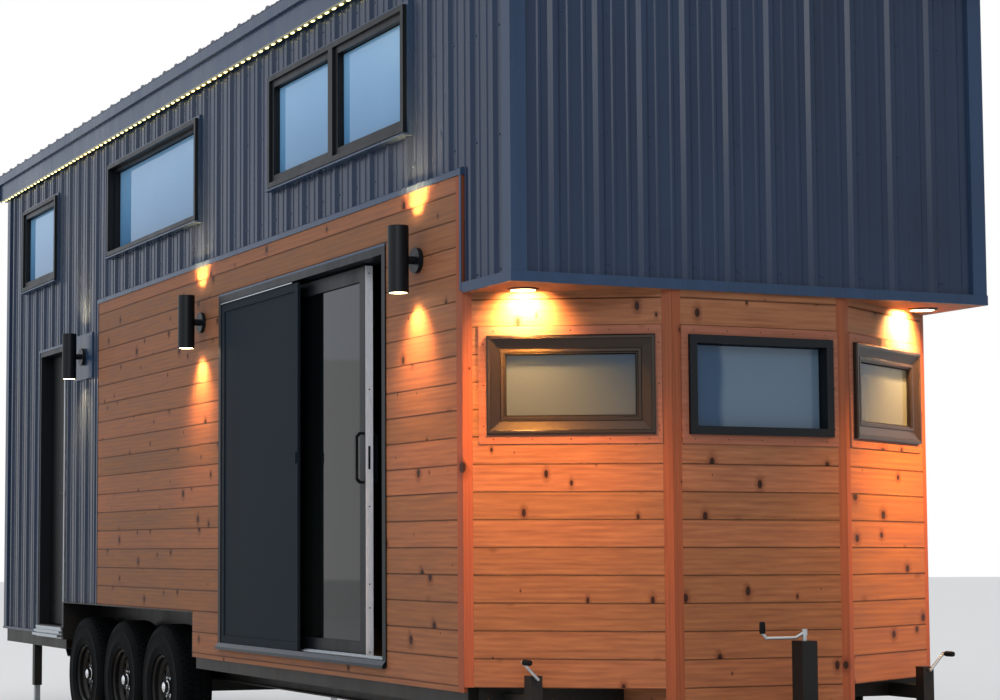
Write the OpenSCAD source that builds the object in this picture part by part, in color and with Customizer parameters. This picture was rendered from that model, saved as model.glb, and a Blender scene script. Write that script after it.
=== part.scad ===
// Tiny house on a triple-axle trailer.
// X runs along the house towards the tongue, the door side faces -Y, Z = 0 is the ground.
// Inside the modules X = 0 is the corner where the long walls end and the bay begins.

/* [House] */
// Width over the cladding of both long walls
house_w = 2590; // [2500:10:2600]
// Length of the long walls, from the rear to the bay corner
wall_len = 8350; // [8300:10:8400]
// Reach of the upper storey and of the bay past the long walls
nose_out = 490; // [470:5:510]
// Thickness of the framed and sheathed walls
wall_t = 115; // [100:5:125]
// Depth of the siding on its battens
clad_t = 25; // [25:1:30]
// Height of the trailer deck's underside above the ground
frame_top_z = 660; // [650:5:670]
// Thickness of the floor deck
floor_t = 45; // [40:1:55]
// Thickness of the overhanging floors and of the loft floor between them
overhang_t = 130; // [120:5:140]
// Reach of the loft floor back from the bay corner
loft_len = 830; // [800:10:840]

/* [Heights under the roof] */
// Top of the roof deck at the door side
roof_high_z = 4330; // [4310:5:4350]
// Distance of the upper windows' heads below the roof's high edge
upper_head_drop = 380; // [365:5:400]
// Height of the upper windows
upper_win_h = 635; // [600:5:640]
// Distance of the cedar's top below the upper windows' sills
cedar_drop = 267; // [250:1:290]
// Distance of the door heads below the cedar's top
door_head_drop = 258; // [240:1:280]
// Distance of the overhang's underside below the door heads
soffit_drop = 320; // [305:5:335]
// Distance of the bay windows' heads below the overhang
bay_head_drop = 212; // [195:1:230]
// Height of the bay windows' openings
bay_win_h = 456; // [430:2:480]

/* [Bay] */
// Width of the bay's middle face
bay_w = 940; // [900:10:960]
// Setback of the bay's middle face from the upper storey
bay_back = 14; // [10:1:16]
// Width of the middle window's opening
mid_win_w = 780; // [740:10:790]
// Width of the slanting faces' window openings
flank_win_w = 766; // [700:2:768]
// Shift of the slanting faces' windows from their middle towards the middle face
flank_shift = 18; // [0:1:22]
// Width of the wooden casings above and below the bay windows
casing_w = 42; // [36:1:44]
// Width of the casings at the slanting windows' rear sides
side_casing_w = 37; // [30:1:40]
// How far the casings stand out of the boards
casing_out = 8; // [5:1:10]
// Drop of the cedar's lower edge on the long walls, below the deck's underside
skirt_drop = 30; // [20:5:40]
// Drop of the slanting faces' lower edge, below the deck's underside
flank_drop = 6; // [2:1:10]
// Drop of the middle face's skirt, below the deck's underside
nose_drop = 90; // [72:1:98]

/* [Roof] */
// Thickness of the roof deck and its rafters
roof_t = 150; // [130:5:170]
// Fall of the roof from the door side to the far side, per metre
roof_fall = 55; // [45:1:60]
// Reach of the roof past the walls at both sides and the nose
eave_out = 50; // [40:1:60]
// Reach of the roof past the rear wall
verge_out = 150; // [120:5:160]
// Depth of the whole eave, from the roof's top to the lower fascia's edge
eave_h = 190; // [180:5:200]
// Depth of the lower fascia board
fascia_h = 125; // [110:5:135]
// Thickness of the fascia boards
fascia_t = 20; // [18:1:24]
// Height of the light strip under the door side's fascia
strip_h = 12; // [8:1:14]

/* [Siding] */
// Spacing of the siding's major ribs
rib_pitch = 229; // [220:1:240]
// Height of the major ribs
rib_h = 19; // [15:1:19]
// Width of a major rib at its foot
rib_base = 64; // [50:1:70]
// Width of a major rib at its crest
rib_crest = 24; // [14:1:30]
// Height of the two minor ribs between major ones
minor_h = 4; // [3:0.5:5]
// Width of a minor rib at its foot
minor_base = 26; // [20:1:30]
// Width of a minor rib at its crest
minor_crest = 12; // [6:1:16]
// Thickness of the flat sheet
pan_t = 5; // [4:1:6]
// Nose corner to the middle of the first rib on the long walls
side_rib_start = 190; // [180:1:240]
// Middle between the two ribs at the nose's centre, measured from the house's middle
nose_rib_y = -32; // [-40:1:-20]
// Width of a corner angle's legs
angle_w = 80; // [60:5:90]
// Height of the drip flashing round the overhang
drip_h = 38; // [30:1:45]
// Height of the flashing on top of the cedar
cap_h = 36; // [30:1:45]
// Width of the trim round doors and windows in the ribbed siding
surround_w = 18; // [15:1:22]
// Height of the flashing below the ribbed siding
base_h = 18; // [15:1:25]

/* [Boards] */
// Length of the cedar field, back from the bay corner
cedar_len = 5790; // [5760:10:5820]
// Visible height of a cedar board
board_pitch = 126.4; // [110:0.1:140]
// Width of the groove between boards
groove_w = 6; // [4:0.5:8]
// Depth of the groove between boards
groove_d = 4; // [3:0.5:6]
// Height of one joint between boards above the ground
board_datum = 1290; // [1270:1:1310]
// Width of the bay's corner boards
corner_board_w = 45; // [40:1:48]
// Width of the boards at the long walls' front ends
end_board_w = 60; // [50:1:66]
// Width of the metal trims along the cedar's ends
end_trim_w = 20; // [15:1:25]
// Thickness of the boards on the soffit and the skirt's sides
thin_board_t = 10; // [8:1:14]

/* [Openings] */
// Front jamb of the patio doorway, back from the bay corner
patio_x = 850; // [840:10:900]
// Width of the patio doorway
patio_w = 2420; // [2380:10:2430]
// Gap between the wheel well and the entry doorway
entry_gap = 5; // [2:1:10]
// Width of the entry doorway
entry_w = 690; // [670:5:720]
// Front edges of the upper windows, back from the bay corner
win_x = [590, 3660, 6850];
// Widths of the upper windows
win_w = [1835, 1860, 940];
// Number of sashes side by side in each upper window, 0 for fixed glass
win_sashes = [2, 0, 1];
// How far the window frames stand out of the siding
frame_out = 25; // [15:1:30]
// Depth of the window frames
frame_d = 110; // [105:1:120]
// Width of an outer frame's face
frame_w = 28; // [22:1:32]
// Width of a sash's face
sash_w = 38; // [30:1:44]
// Setback of the sashes from the frame's face
sash_back = 15; // [10:1:20]
// Setback of the panes in sashes
glass_back = 62; // [50:1:75]
// Setback of the fixed panes
fixed_back = 85; // [70:1:90]
// Thickness of the window panes
glass_t = 12; // [8:1:14]
// Setback of the panes in the moulded frames
mould_glass_back = 12; // [8:1:20]
// Width of the mullion between two sashes
mullion_w = 57; // [50:1:64]
// Width of the moulded frames of the slanting faces' windows
mould_w = 85; // [78:1:90]

/* [Doors] */
// How far the patio door stands open
patio_ajar = 350; // [300:10:400]
// Thickness of the sliding and fixed panels
panel_t = 40; // [36:1:42]
// Width of the panels' stiles and rails
stile_w = 75; // [65:1:85]
// Running gap round a sliding or hinged panel
door_gap = 6; // [5:1:8]
// Face of the patio door's outer frame
patio_frame_w = 40; // [35:1:45]
// Height of the patio door's sill
patio_sill_h = 30; // [25:1:35]
// Reach of the patio door's pulls from its faces
pull_out = 42; // [35:1:42]
// Height of the patio door's pulls
pull_h = 265; // [220:5:300]
// Height of the pulls' middle above the floor
pull_z = 1045; // [1000:5:1100]
// Thickness of the insect screen
screen_t = 16; // [12:1:18]
// Face of the entry door's frame
entry_frame_w = 35; // [30:1:40]
// Setback of the entry door's face from the siding
entry_recess = 85; // [70:5:90]
// Thickness of the entry door
entry_t = 44; // [40:1:50]
// Height of the door handle above the floor
handle_z = 1000; // [950:10:1050]

/* [Running gear] */
// Tyre radius
tyre_r = 403; // [395:1:408]
// Tyre width
tyre_w = 235; // [215:5:240]
// Rim radius at the bead
rim_r = 205; // [195:1:210]
// Distance between axles
axle_pitch = 860; // [850:5:865]
// Front end of the wheel well, back from the bay corner
well_x = 3745; // [3700:5:3760]
// Length of the wheel well
well_len = 2870; // [2860:5:2880]
// Rear tyre to the rear end of the wheel well
well_tyre_gap = 32; // [25:1:40]
// Height of the wheel well above the deck's underside
well_rise = 245; // [230:5:250]
// Clearance beside the tyres in the wheel well
well_side_gap = 29; // [25:1:35]
// Gap between a wheel well and the main rail
well_rail_gap = 30; // [20:1:40]
// Plate thickness of the wheel well
well_t = 6; // [5:1:8]
// How far the wheel well's top plate stands out of the wall
well_lip = 6; // [4:1:10]
// Spindle radius
spindle_r = 20; // [18:1:22]
// Running clearance of a wheel on its spindle
spindle_gap = 0.05; // [0.02:0.01:0.1]
// Side of the square axle tubes
axle_side = 76; // [70:1:80]
// Length of the torsion arms
arm_len = 150; // [140:1:155]
// Thickness of the torsion arms
arm_t = 25; // [20:1:28]
// Radius of the brake drums
drum_r = 150; // [140:1:155]

/* [Trailer] */
// Height of the main rails
rail_h = 200; // [180:5:210]
// Flange width of the main rails
rail_w = 100; // [90:2:110]
// Plate thickness of the rails and cross members
rail_plate = 8; // [6:1:10]
// Length over which the rails are cut up at the rear
tail_len = 700; // [600:10:760]
// How much shallower the rails are at the rear
tail_rise = 90; // [60:5:95]
// Height of the channels that carry the deck
joist_h = 100; // [90:2:110]
// Flange width of the channels that carry the deck
joist_w = 50; // [45:1:55]
// Spacing of the cross members
joist_pitch = 610; // [600:5:620]
// Height of the tongue's beams
tongue_h = 115; // [100:5:120]
// Width of the tongue's beams
tongue_w = 60; // [50:2:70]
// Reach of the coupler past the bay corner
tongue_out = 1250; // [1230:5:1270]
// Radius of the coupler's ball socket
ball_r = 30; // [28:0.5:32]
// Depth of the ball socket's straight part
ball_depth = 30; // [25:1:35]

/* [Jacks] */
// Side of the tongue jack's square tube
tongue_jack_w = 80; // [76:1:84]
// Side of the corner jacks' square tubes
corner_jack_w = 60; // [56:1:64]
// Wall of the jack tubes
jack_wall = 5; // [4:1:6]
// Clearance between a jack's tube and its leg
jack_gap = 5; // [5:1:6]
// Top of the tongue jack's tube above the deck's underside
tongue_jack_rise = 215; // [200:5:230]
// Place of the tongue jack, forward of the bay corner
tongue_jack_x = 790; // [780:5:800]
// Top of the front corner jacks' tubes above the deck's underside
front_jack_rise = 55; // [45:5:65]
// Place of the front corner jacks, forward of the bay corner
front_jack_x = 245; // [240:5:255]
// Place of the front corner jacks, in from the long walls' sheathing
front_jack_in = 200; // [190:5:210]
// Place of the rear jacks, back from the bay corner
rear_jack_x = 7520; // [7480:10:7560]
// Travel of the jack legs
jack_travel = 200; // [150:10:220]
// Radius of the jack screws
screw_r = 10; // [9:0.5:11]
// Radius of the cranks' bent rods
crank_r = 7; // [6:0.5:8]
// Reach of the tongue jack's crank
tongue_crank_len = 220; // [200:5:250]
// Reach of the corner jacks' cranks
corner_crank_len = 110; // [90:5:130]

/* [Lamps] */
// Radius of the wall lamps
lamp_r = 51; // [48:1:54]
// Height of the wall lamps
lamp_h = 325; // [300:5:340]
// Height of the lamps' tops above the door heads
lamp_rise = 40; // [20:5:60]
// Reach of the lamps' axes out from the wall
lamp_out = 105; // [100:1:110]
// Places of the wall lamps, back from the bay corner
lamp_x = [475, 3580, 6145];
// Radius of the lamps' wall plates
lamp_plate_r = 62; // [55:1:70]
// Width of the board behind the lamp on the ribbed siding
lamp_board_w = 430; // [400:10:440]
// Radius of the soffit lights
soffit_lamp_r = 60; // [50:1:70]
// Place of the soffit lights, forward of the bay corner
soffit_lamp_x = 240; // [200:5:260]
// Place of the soffit lights, in from the long walls' faces
soffit_lamp_in = 190; // [170:5:210]

/* [Hidden] */

// Clearance between pieces that seat on each other
seat = 0.3;
// Clearance at mitred and slanting joints
tiny = 0.5;
// How far a cut reaches past the piece that it cuts
past = 50;

half_w = house_w / 2;
core_y = half_w - clad_t;
inner_y = core_y - wall_t;
skin_d = clad_t + wall_t;
nose_core = nose_out - clad_t;
rear_face = -wall_len;
rear_core = rear_face + clad_t;
bay_face = nose_out - bay_back;

floor_z = frame_top_z + floor_t;
skirt_z = frame_top_z - skirt_drop;
flank_z = frame_top_z - flank_drop;
nose_skirt_z = frame_top_z - nose_drop;
upper_sill_z = roof_high_z - upper_head_drop - upper_win_h;
cedar_top_z = upper_sill_z - cedar_drop;
door_head_z = cedar_top_z - door_head_drop;
soffit_z = door_head_z - soffit_drop;
bay_sill_z = soffit_z - bay_head_drop - bay_win_h;
top_z = roof_high_z + rib_h + past;

flank_dy = half_w - bay_w / 2;
flank_len = norm([bay_face, flank_dy]);
bay_turn = atan2(bay_face, flank_dy);
side_turn = 90 - bay_turn;
flank_mid = flank_len / 2 - flank_shift;
near_casing_w = flank_mid - flank_win_w / 2 - corner_board_w - 2 * tiny;
mid_casing_w = (bay_w - mid_win_w) / 2 - corner_board_w - 2 * tiny;

roof_slope = atan(roof_fall / 1000);
deck_out = eave_out - 2 * fascia_t;
roof_run = (2 * half_w + 2 * deck_out) / cos(roof_slope);
roof_rear = rear_face - verge_out + fascia_t;
roof_nose = nose_out + eave_out - fascia_t;
fascia_z = roof_high_z - eave_h;

joist_z = frame_top_z - joist_h;
rail_z = frame_top_z - rail_h;
wheel_y = core_y - tyre_w / 2;
well_in_y = core_y - tyre_w - well_side_gap - well_t;
well_end = well_x + well_len;
well_top_z = frame_top_z + well_rise;
rear_axle_x = well_end - well_tyre_gap - tyre_r;
wheel_x = [for (i = [0:2]) i * axle_pitch - rear_axle_x];
rail_y = well_in_y - well_rail_gap;
entry_x = well_end + entry_gap;
front_jack_y = core_y - front_jack_in;
tongue_jack_top = frame_top_z + tongue_jack_rise;
front_jack_top = frame_top_z + front_jack_rise;
lamp_z = door_head_z + lamp_rise - lamp_h;
lamp_reach = half_w + lamp_out + lamp_r;

place_x = (wall_len + verge_out - tongue_out) / 2;
place_y = (lamp_reach - half_w - eave_out) / 2;

// Puts a module drawn about the bay corner where the whole part has its origin
module set_down() {
    translate([place_x, place_y, 0]) children();
}

// A block between two opposite corners
module block(low, high) {
    translate(low) cube(high - low);
}

// The door side's piece and its mirror image on the far side
module both_sides() {
    children();
    mirror([0, 1, 0]) children();
}

// A flat outline standing up from one height to another
module upright(z0, z1) {
    translate([0, 0, z0]) linear_extrude(z1 - z0) children();
}

// A round rod between two points
module rod(from, to, r) {
    run = to - from;
    translate(from) rotate([0, acos(run[2] / norm(run)), atan2(run[1], run[0])])
        cylinder(r = r, h = norm(run), $fn = 24);
}

// Outline of the house below the upper storey, a depth in from its outer faces
function bay_half(d) = bay_w / 2 - d * tan(bay_turn / 2);
function side_end(d) = -d * tan(side_turn / 2);
function house_outline(d, rear = rear_face) = [
    [rear + d, -(half_w - d)],
    [side_end(d), -(half_w - d)],
    [bay_face - d, -bay_half(d)],
    [bay_face - d, bay_half(d)],
    [side_end(d), half_w - d],
    [rear + d, half_w - d]
];

// Where the slanting faces lie, a depth in from their outer sides
function flank_y(x, d) = bay_half(d) + (bay_face - d - x) * flank_dy / bay_face;
function flank_x(y, d) = bay_face - d - (y - bay_half(d)) * bay_face / flank_dy;
function reversed(list) = [for (i = [len(list) - 1 : -1 : 0]) list[i]];

// Frame of the door side's long wall: x along the house, y into the wall
module on_door_side() {
    translate([0, -half_w, 0]) children();
}

// Frame of the door side's slanting face: x back from the middle face, y into the wall
module on_flank() {
    translate([bay_face, -bay_w / 2, 0]) rotate(-90 - bay_turn) mirror([0, 1, 0]) children();
}

// Frame of the bay's middle face: x from its middle towards the far side, y into the wall
module on_mid_face() {
    translate([bay_face, 0, 0]) rotate(90) children();
}

// Frames of the upper storey's nose and of the rear wall, y into the wall
module on_nose() {
    translate([nose_out, 0, 0]) rotate(90) children();
}

module on_rear() {
    translate([rear_face, 0, 0]) rotate(-90) children();
}

// Frame of the roof: x along the house, y down the slope from the door side's edge
module on_roof() {
    translate([0, -half_w - deck_out, roof_high_z]) rotate([-roof_slope, 0, 0]) children();
}

// Everything above the underside of the roof deck
module above_roof() {
    on_roof() block([rear_face - wall_len, -house_w, -roof_t], [wall_len, 2 * house_w, wall_len]);
}

// A long wall's slab between two stations, from its outer to its inner face
module wall_slab(x0, x1, z0, z1) {
    block([x0, -core_y, z0], [x1, -inner_y, z1]);
}

// Window and door openings of the door side, cut through everything
module upper_window_holes(height, grow = 0) {
    for (i = [0:2])
        block([-win_x[i] - win_w[i] - grow, -half_w - past, upper_sill_z - grow],
              [-win_x[i] + grow, -inner_y + past, upper_sill_z + height + grow]);
}

module patio_hole(head = 0) {
    block([-patio_x - patio_w, -half_w - past, floor_z - seat],
          [-patio_x, -inner_y + past, door_head_z + head]);
}

module entry_hole(grow = 0) {
    block([-entry_x - entry_w - grow, -half_w - past, floor_z - seat],
          [-entry_x + grow, -inner_y + past, door_head_z + grow]);
}

module well_hole(rear = 0) {
    block([-well_end - rear, -half_w - past, 0], [-well_x, -well_in_y, well_top_z]);
}

// A bay window's opening about its own middle, grown beside it and above and below it
module bay_hole(w, near = 0, far = 0, rim = 0) {
    block([-w / 2 - near, -past, bay_sill_z - rim],
          [w / 2 + far, skin_d + past, bay_sill_z + bay_win_h + rim]);
}

// Middle of a slanting face's window, back from the middle face
module at_flank_window() {
    on_flank() translate([flank_mid, 0, 0]) children();
}

// A shape drawn in X and Z, standing from one depth to another
module standing(y0, y1) {
    translate([0, y1, 0]) rotate([90, 0, 0]) linear_extrude(y1 - y0) children();
}

// A shape drawn in depth and height, run along X
module running(x0, x1) {
    translate([x0, 0, 0]) rotate([90, 0, 90]) linear_extrude(x1 - x0) children();
}

// Trailer

module channel(len, h, w, t) {
    running(0, len) polygon([[0, 0], [w, 0], [w, t], [t, t], [t, h - t], [w, h - t], [w, h], [0, h]]);
}

// Side view of a rail's lower edge, cut up at the rear, raised by a plate's thickness
function rail_low(rise) = [
    [rear_core, rail_z + tail_rise + rise], [rear_core + tail_len - tail_rise, rail_z + tail_rise + rise],
    [rear_core + tail_len, rail_z + rise], [-joist_w, rail_z + rise]
];

module rail() {
    standing(-rail_w / 2, rail_w / 2) polygon(concat(rail_low(0), reversed(rail_low(rail_plate))));
    standing(-rail_plate / 2, rail_plate / 2)
        polygon(concat(rail_low(0), [[-joist_w, frame_top_z], [rear_core, frame_top_z]]));
    block([rear_core, -rail_w / 2, frame_top_z - rail_plate], [-joist_w, rail_w / 2, frame_top_z]);
}

module edge_channel(x0, x1) {
    translate([x0, -core_y, joist_z]) channel(x1 - x0, joist_h, joist_w, rail_plate);
}

module frame_rails() color("#15181c") set_down() both_sides() {
    translate([0, -rail_y + rail_w / 2, 0]) rail();
    edge_channel(rear_core, -well_end);
    edge_channel(-well_x, side_end(clad_t) - seat);
}

module joist(x, y0, y1) {
    translate([x + joist_w, y0, joist_z]) rotate(90) channel(y1 - y0, joist_h, joist_w, rail_plate);
}

module cross_members() color("#15181c") set_down() {
    rail_in = rail_y - rail_w;
    stub_y = bay_half(skin_d);
    stub_end = bay_face - clad_t - joist_w - seat;
    for (x = [rear_core : joist_pitch : -2 * joist_w]) joist(x, -rail_in, rail_in);
    joist(-joist_w, -core_y + joist_w + seat, core_y - joist_w - seat);
    joist(stub_end + seat, -stub_y, stub_y);
    both_sides() {
        for (x = [rear_core : joist_pitch : -2 * joist_w])
            if (x + joist_w < -well_end || x > -well_x) joist(x, -core_y + joist_w, -rail_y);
        translate([seat, -stub_y, joist_z]) channel(stub_end - seat, joist_h, joist_w, rail_plate);
    }
}

tongue_z = joist_z - tongue_h;
tongue_root = [-900, -790];
tongue_tip = [1050, -75];
tongue_run = tongue_tip - tongue_root;
tongue_turn = atan2(tongue_run[1], tongue_run[0]);
coupler_r = 50;
ball_x = tongue_out - coupler_r;
coupler_len = 160;
coupler_rise = 20;
gusset_t = 10;
gusset_back = 120;

// How far the tongue's beams lie from the middle at a place along it
function tongue_y(x, side) = -tongue_tip[1] + (tongue_tip[0] - x) * tan(tongue_turn)
    + side * tongue_w / 2 / cos(tongue_turn);

module tongue_beams() color("#15181c") set_down() both_sides()
    translate([tongue_root[0], tongue_root[1], tongue_z]) rotate(tongue_turn)
        translate([0, -tongue_w / 2, 0]) channel(norm(tongue_run), tongue_h, tongue_w, rail_plate);

// A plan with a rear and a front width, alike on both sides of the middle
module wedge(x0, half0, x1, half1, z0, z1) {
    upright(z0, z1) polygon([[x0, -half0], [x1, -half1], [x1, half1], [x0, half0]]);
}

module coupler() color("#22262b") set_down() {
    tip_x = tongue_tip[0];
    tip_half = tongue_y(tip_x, -1) - seat;
    root_x = tip_x - coupler_len;
    plate_x = tongue_jack_x - gusset_back;
    body_z = tongue_z + coupler_rise;
    difference() {
        union() {
            wedge(plate_x, tongue_y(plate_x, 0), tip_x, tongue_y(tip_x, 0), joist_z, joist_z + gusset_t);
            wedge(root_x, tongue_y(root_x, -1) - seat, tip_x, tip_half, body_z, joist_z);
            wedge(tip_x, tip_half, ball_x, coupler_r - gusset_t, body_z, joist_z);
            translate([ball_x, 0, body_z]) cylinder(r = coupler_r, h = tongue_h - coupler_rise, $fn = 64);
        }
        translate([ball_x, 0, body_z - past]) cylinder(r = ball_r, h = past + ball_depth, $fn = 64);
        translate([ball_x, 0, body_z + ball_depth]) sphere(r = ball_r, $fn = 48);
        translate([tongue_jack_x, 0, 0])
            square_bar(tongue_jack_w + 2 * seat, tongue_z, tongue_z + 2 * tongue_h);
    }
}

// Running gear: depths along an axle are counted outwards from the wheel's middle plane

arm_out = -104;
plate_out = -91;
backing_t = 6;
backing_r = 155;
boss_r = 35;
arm_half_h = 30;
drum_in = -85;
drum_out = 5;
drum_wall = 8;
hub_r = 42;
hub_out = 65;
bore_out = 55;
spindle_out = 51;
cap_r = 34;
cap_out = 88;
round_fn = 72;

// Turns a shape drawn about a wheel's axle into place, its +Z outwards
module on_axle(x, y) {
    translate([x, y, tyre_r]) rotate([90, 0, y < 0 ? 0 : 180]) children();
}

// A round bar along the axle between two depths
module along(out0, out1, r) {
    translate([0, 0, out0]) cylinder(r = r, h = out1 - out0, $fn = round_fn);
}

module axles() color("#22262b") set_down() for (x = wheel_x) {
    arm_y = wheel_y + arm_out - arm_t;
    tube_x = x + arm_len;
    block([tube_x - axle_side / 2, -arm_y, rail_z - axle_side], [tube_x + axle_side / 2, arm_y, rail_z]);
    both_sides() {
        block([x, -arm_y - arm_t, tyre_r - arm_half_h], [tube_x + axle_side / 2, -arm_y, tyre_r + arm_half_h]);
        on_axle(x, -wheel_y) {
            along(arm_out - arm_t, plate_out - backing_t, boss_r);
            along(plate_out - backing_t, plate_out, backing_r);
            along(plate_out, spindle_out, spindle_r);
        }
    }
}

module wheel_wells() color("#0d0f12") set_down() both_sides() {
    difference() {
        block([-well_end, -half_w, skirt_z], [-well_x, -well_in_y, well_top_z]);
        block([-well_end + well_t, -half_w - past, 0],
              [-well_x - well_t, -well_in_y - well_t, well_top_z - well_t]);
    }
    block([-well_end, -half_w - well_lip, well_top_z - well_t], [-well_x, -half_w, well_top_z]);
}

groove_mid = [30, 70];
tread_groove_w = 8;
tread_groove_d = 9;

// One side of the tyre's section, from the bead over the shoulder to its middle
function tyre_side(s) = concat(
    [[rim_r, tyre_w / 2 - 20], [rim_r + 20, tyre_w / 2 - 8], [tyre_r - 130, tyre_w / 2 - 2],
     [tyre_r - 80, tyre_w / 2], [tyre_r - 32, tyre_w / 2 - 6], [tyre_r - 8, tyre_w / 2 - 16],
     [tyre_r, tyre_w / 2 - 28]],
    [for (g = [1, 0]) each [
        [tyre_r, groove_mid[g] + tread_groove_w / 2], [tyre_r - tread_groove_d, groove_mid[g] + 2],
        [tyre_r - tread_groove_d, groove_mid[g] - 2], [tyre_r, groove_mid[g] - tread_groove_w / 2]]]);

module tyre(i, side) {
    low = [for (p = tyre_side(1)) [p[0], -p[1]]];
    on_axle(wheel_x[i], side * wheel_y) rotate_extrude($fn = round_fn)
        polygon(concat(low, reversed(tyre_side(1))));
}

hand_holes = 8;
hand_hole_r = 19;
hand_hole_mid = 128;
disc_t = 9;

// Section of the pressed disc, radius and depth, raised round the hand holes
disc_face = [[hub_r - 2, 30], [86, 30], [104, 46], [152, 46], [rim_r - 30, 24]];

module rim_disc() {
    difference() {
        rotate_extrude($fn = round_fn)
            polygon(concat(disc_face, reversed([for (p = disc_face) [p[0], p[1] - disc_t]])));
        for (i = [1 : hand_holes]) rotate(i * 360 / hand_holes) translate([hand_hole_mid, 0, 0])
            cylinder(r = hand_hole_r, h = 2 * past, $fn = 32);
    }
}

module brake_drum() {
    difference() {
        along(drum_in, drum_out, drum_r);
        along(drum_in - past, drum_out - drum_wall, drum_r - drum_wall);
    }
}

module rim(i, side) {
    on_axle(wheel_x[i], side * wheel_y) difference() {
        union() {
            rotate_extrude($fn = round_fn) polygon([
                [rim_r, -95], [rim_r, 95], [rim_r - 6, 97], [rim_r - 14, 86], [rim_r - 14, 60],
                [rim_r - 30, 40], [rim_r - 32, -60], [rim_r - 14, -80], [rim_r - 12, -97]]);
            rim_disc();
            brake_drum();
            along(drum_in, hub_out, hub_r);
            along(hub_out, cap_out, cap_r);
        }
        along(drum_in - past, bore_out, spindle_r + spindle_gap);
    }
}

module tyre_door_rear() color("#1b1e22") set_down() tyre(0, -1);
module tyre_door_mid() color("#1b1e22") set_down() tyre(1, -1);
module tyre_door_front() color("#1b1e22") set_down() tyre(2, -1);
module tyre_far_rear() color("#1b1e22") set_down() tyre(0, 1);
module tyre_far_mid() color("#1b1e22") set_down() tyre(1, 1);
module tyre_far_front() color("#1b1e22") set_down() tyre(2, 1);
module rim_door_rear() color("#101215") set_down() rim(0, -1);
module rim_door_mid() color("#101215") set_down() rim(1, -1);
module rim_door_front() color("#101215") set_down() rim(2, -1);
module rim_far_rear() color("#101215") set_down() rim(0, 1);
module rim_far_mid() color("#101215") set_down() rim(1, 1);
module rim_far_front() color("#101215") set_down() rim(2, 1);

// Jacks

foot_t = 10;
foot_w = 120;
tongue_foot_w = 130;
tongue_tube_low = 300;
corner_tube_low = 250;
jack_cap = 8;
gear_h = 30;
screw_low = 40;
leg_head = 30;
crank_drop = 15;
crank_rise = 38;
bracket_w = 60;
bracket_h = 64;
grip_r = 12;

// An upright square bar about the Z axis
module square_bar(w, z0, z1) {
    block([-w / 2, -w / 2, z0], [w / 2, w / 2, z1]);
}

module square_tube(w, z0, z1, cap) {
    difference() {
        square_bar(w, z0, z1);
        square_bar(w - 2 * jack_wall, z0 - past, z1 - cap);
    }
}

module jack_leg(w, foot, z1) {
    difference() {
        union() {
            square_bar(w - 2 * jack_wall - 2 * jack_gap, 0, z1);
            square_bar(foot, 0, foot_t);
        }
        translate([0, 0, foot_t]) cylinder(r = screw_r + seat, h = z1, $fn = 32);
    }
}

module jack_screw(z1) {
    z0 = foot_t + jack_travel + screw_low;
    translate([0, 0, z0]) cylinder(r = screw_r, h = z1 - z0, $fn = 32);
}

module at_tongue_jack() {
    translate([tongue_jack_x, 0, 0]) children();
}

module at_front_jack(side) {
    translate([front_jack_x, side * front_jack_y, 0]) children();
}

module at_rear_jack(side) {
    translate([-rear_jack_x, side * (core_y - corner_jack_w / 2), 0]) children();
}

module jack_tubes() color("#15181c") set_down() {
    at_tongue_jack() difference() {
        square_tube(tongue_jack_w, tongue_tube_low, tongue_jack_top, jack_cap);
        cylinder(r = screw_r + seat, h = tongue_jack_top + past, $fn = 32);
    }
    for (side = [-1, 1]) {
        at_front_jack(side) {
            difference() {
                square_tube(corner_jack_w, corner_tube_low, front_jack_top, gear_h);
                translate([0, 0, front_jack_top - crank_drop]) rotate([0, 90, 0])
                    cylinder(r = crank_r + seat, h = corner_jack_w, $fn = 32);
            }
            jack_screw(front_jack_top - gear_h);
            block([seat - front_jack_x, -bracket_w / 2, flank_z - bracket_h - gear_h],
                  [-corner_jack_w / 2, bracket_w / 2, flank_z - gear_h]);
        }
        at_rear_jack(side) {
            square_tube(corner_jack_w, corner_tube_low, joist_z, jack_cap);
            jack_screw(joist_z - jack_cap);
        }
    }
}

module tongue_jack_leg() color("#8a8f94") set_down()
    at_tongue_jack() jack_leg(tongue_jack_w, tongue_foot_w, tongue_jack_top - leg_head - jack_travel);

module front_jack_leg(side) color("#8a8f94") set_down()
    at_front_jack(side) jack_leg(corner_jack_w, foot_w, front_jack_top - 2 * leg_head - jack_travel);
module front_jack_leg_door() front_jack_leg(-1);
module front_jack_leg_far() front_jack_leg(1);

module rear_jack_leg(side) color("#8a8f94") set_down()
    at_rear_jack(side) jack_leg(corner_jack_w, foot_w, joist_z - leg_head - jack_travel);
module rear_jack_leg_door() rear_jack_leg(-1);
module rear_jack_leg_far() rear_jack_leg(1);

// A bent rod through a list of points, with a ball at each bend
module bent_rod(points) {
    for (i = [1 : len(points) - 1]) rod(points[i - 1], points[i], crank_r);
    for (i = [1 : len(points) - 2]) translate(points[i]) sphere(r = crank_r + tiny, $fn = 24);
}

// A turned grip along +Z, thicker in its middle
module grip(len) {
    rotate_extrude($fn = 48) polygon([
        [0, 0], [grip_r - 3, 0], [grip_r, len / 4], [grip_r, len * 3 / 4], [grip_r - 3, len], [0, len]]);
}

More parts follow.
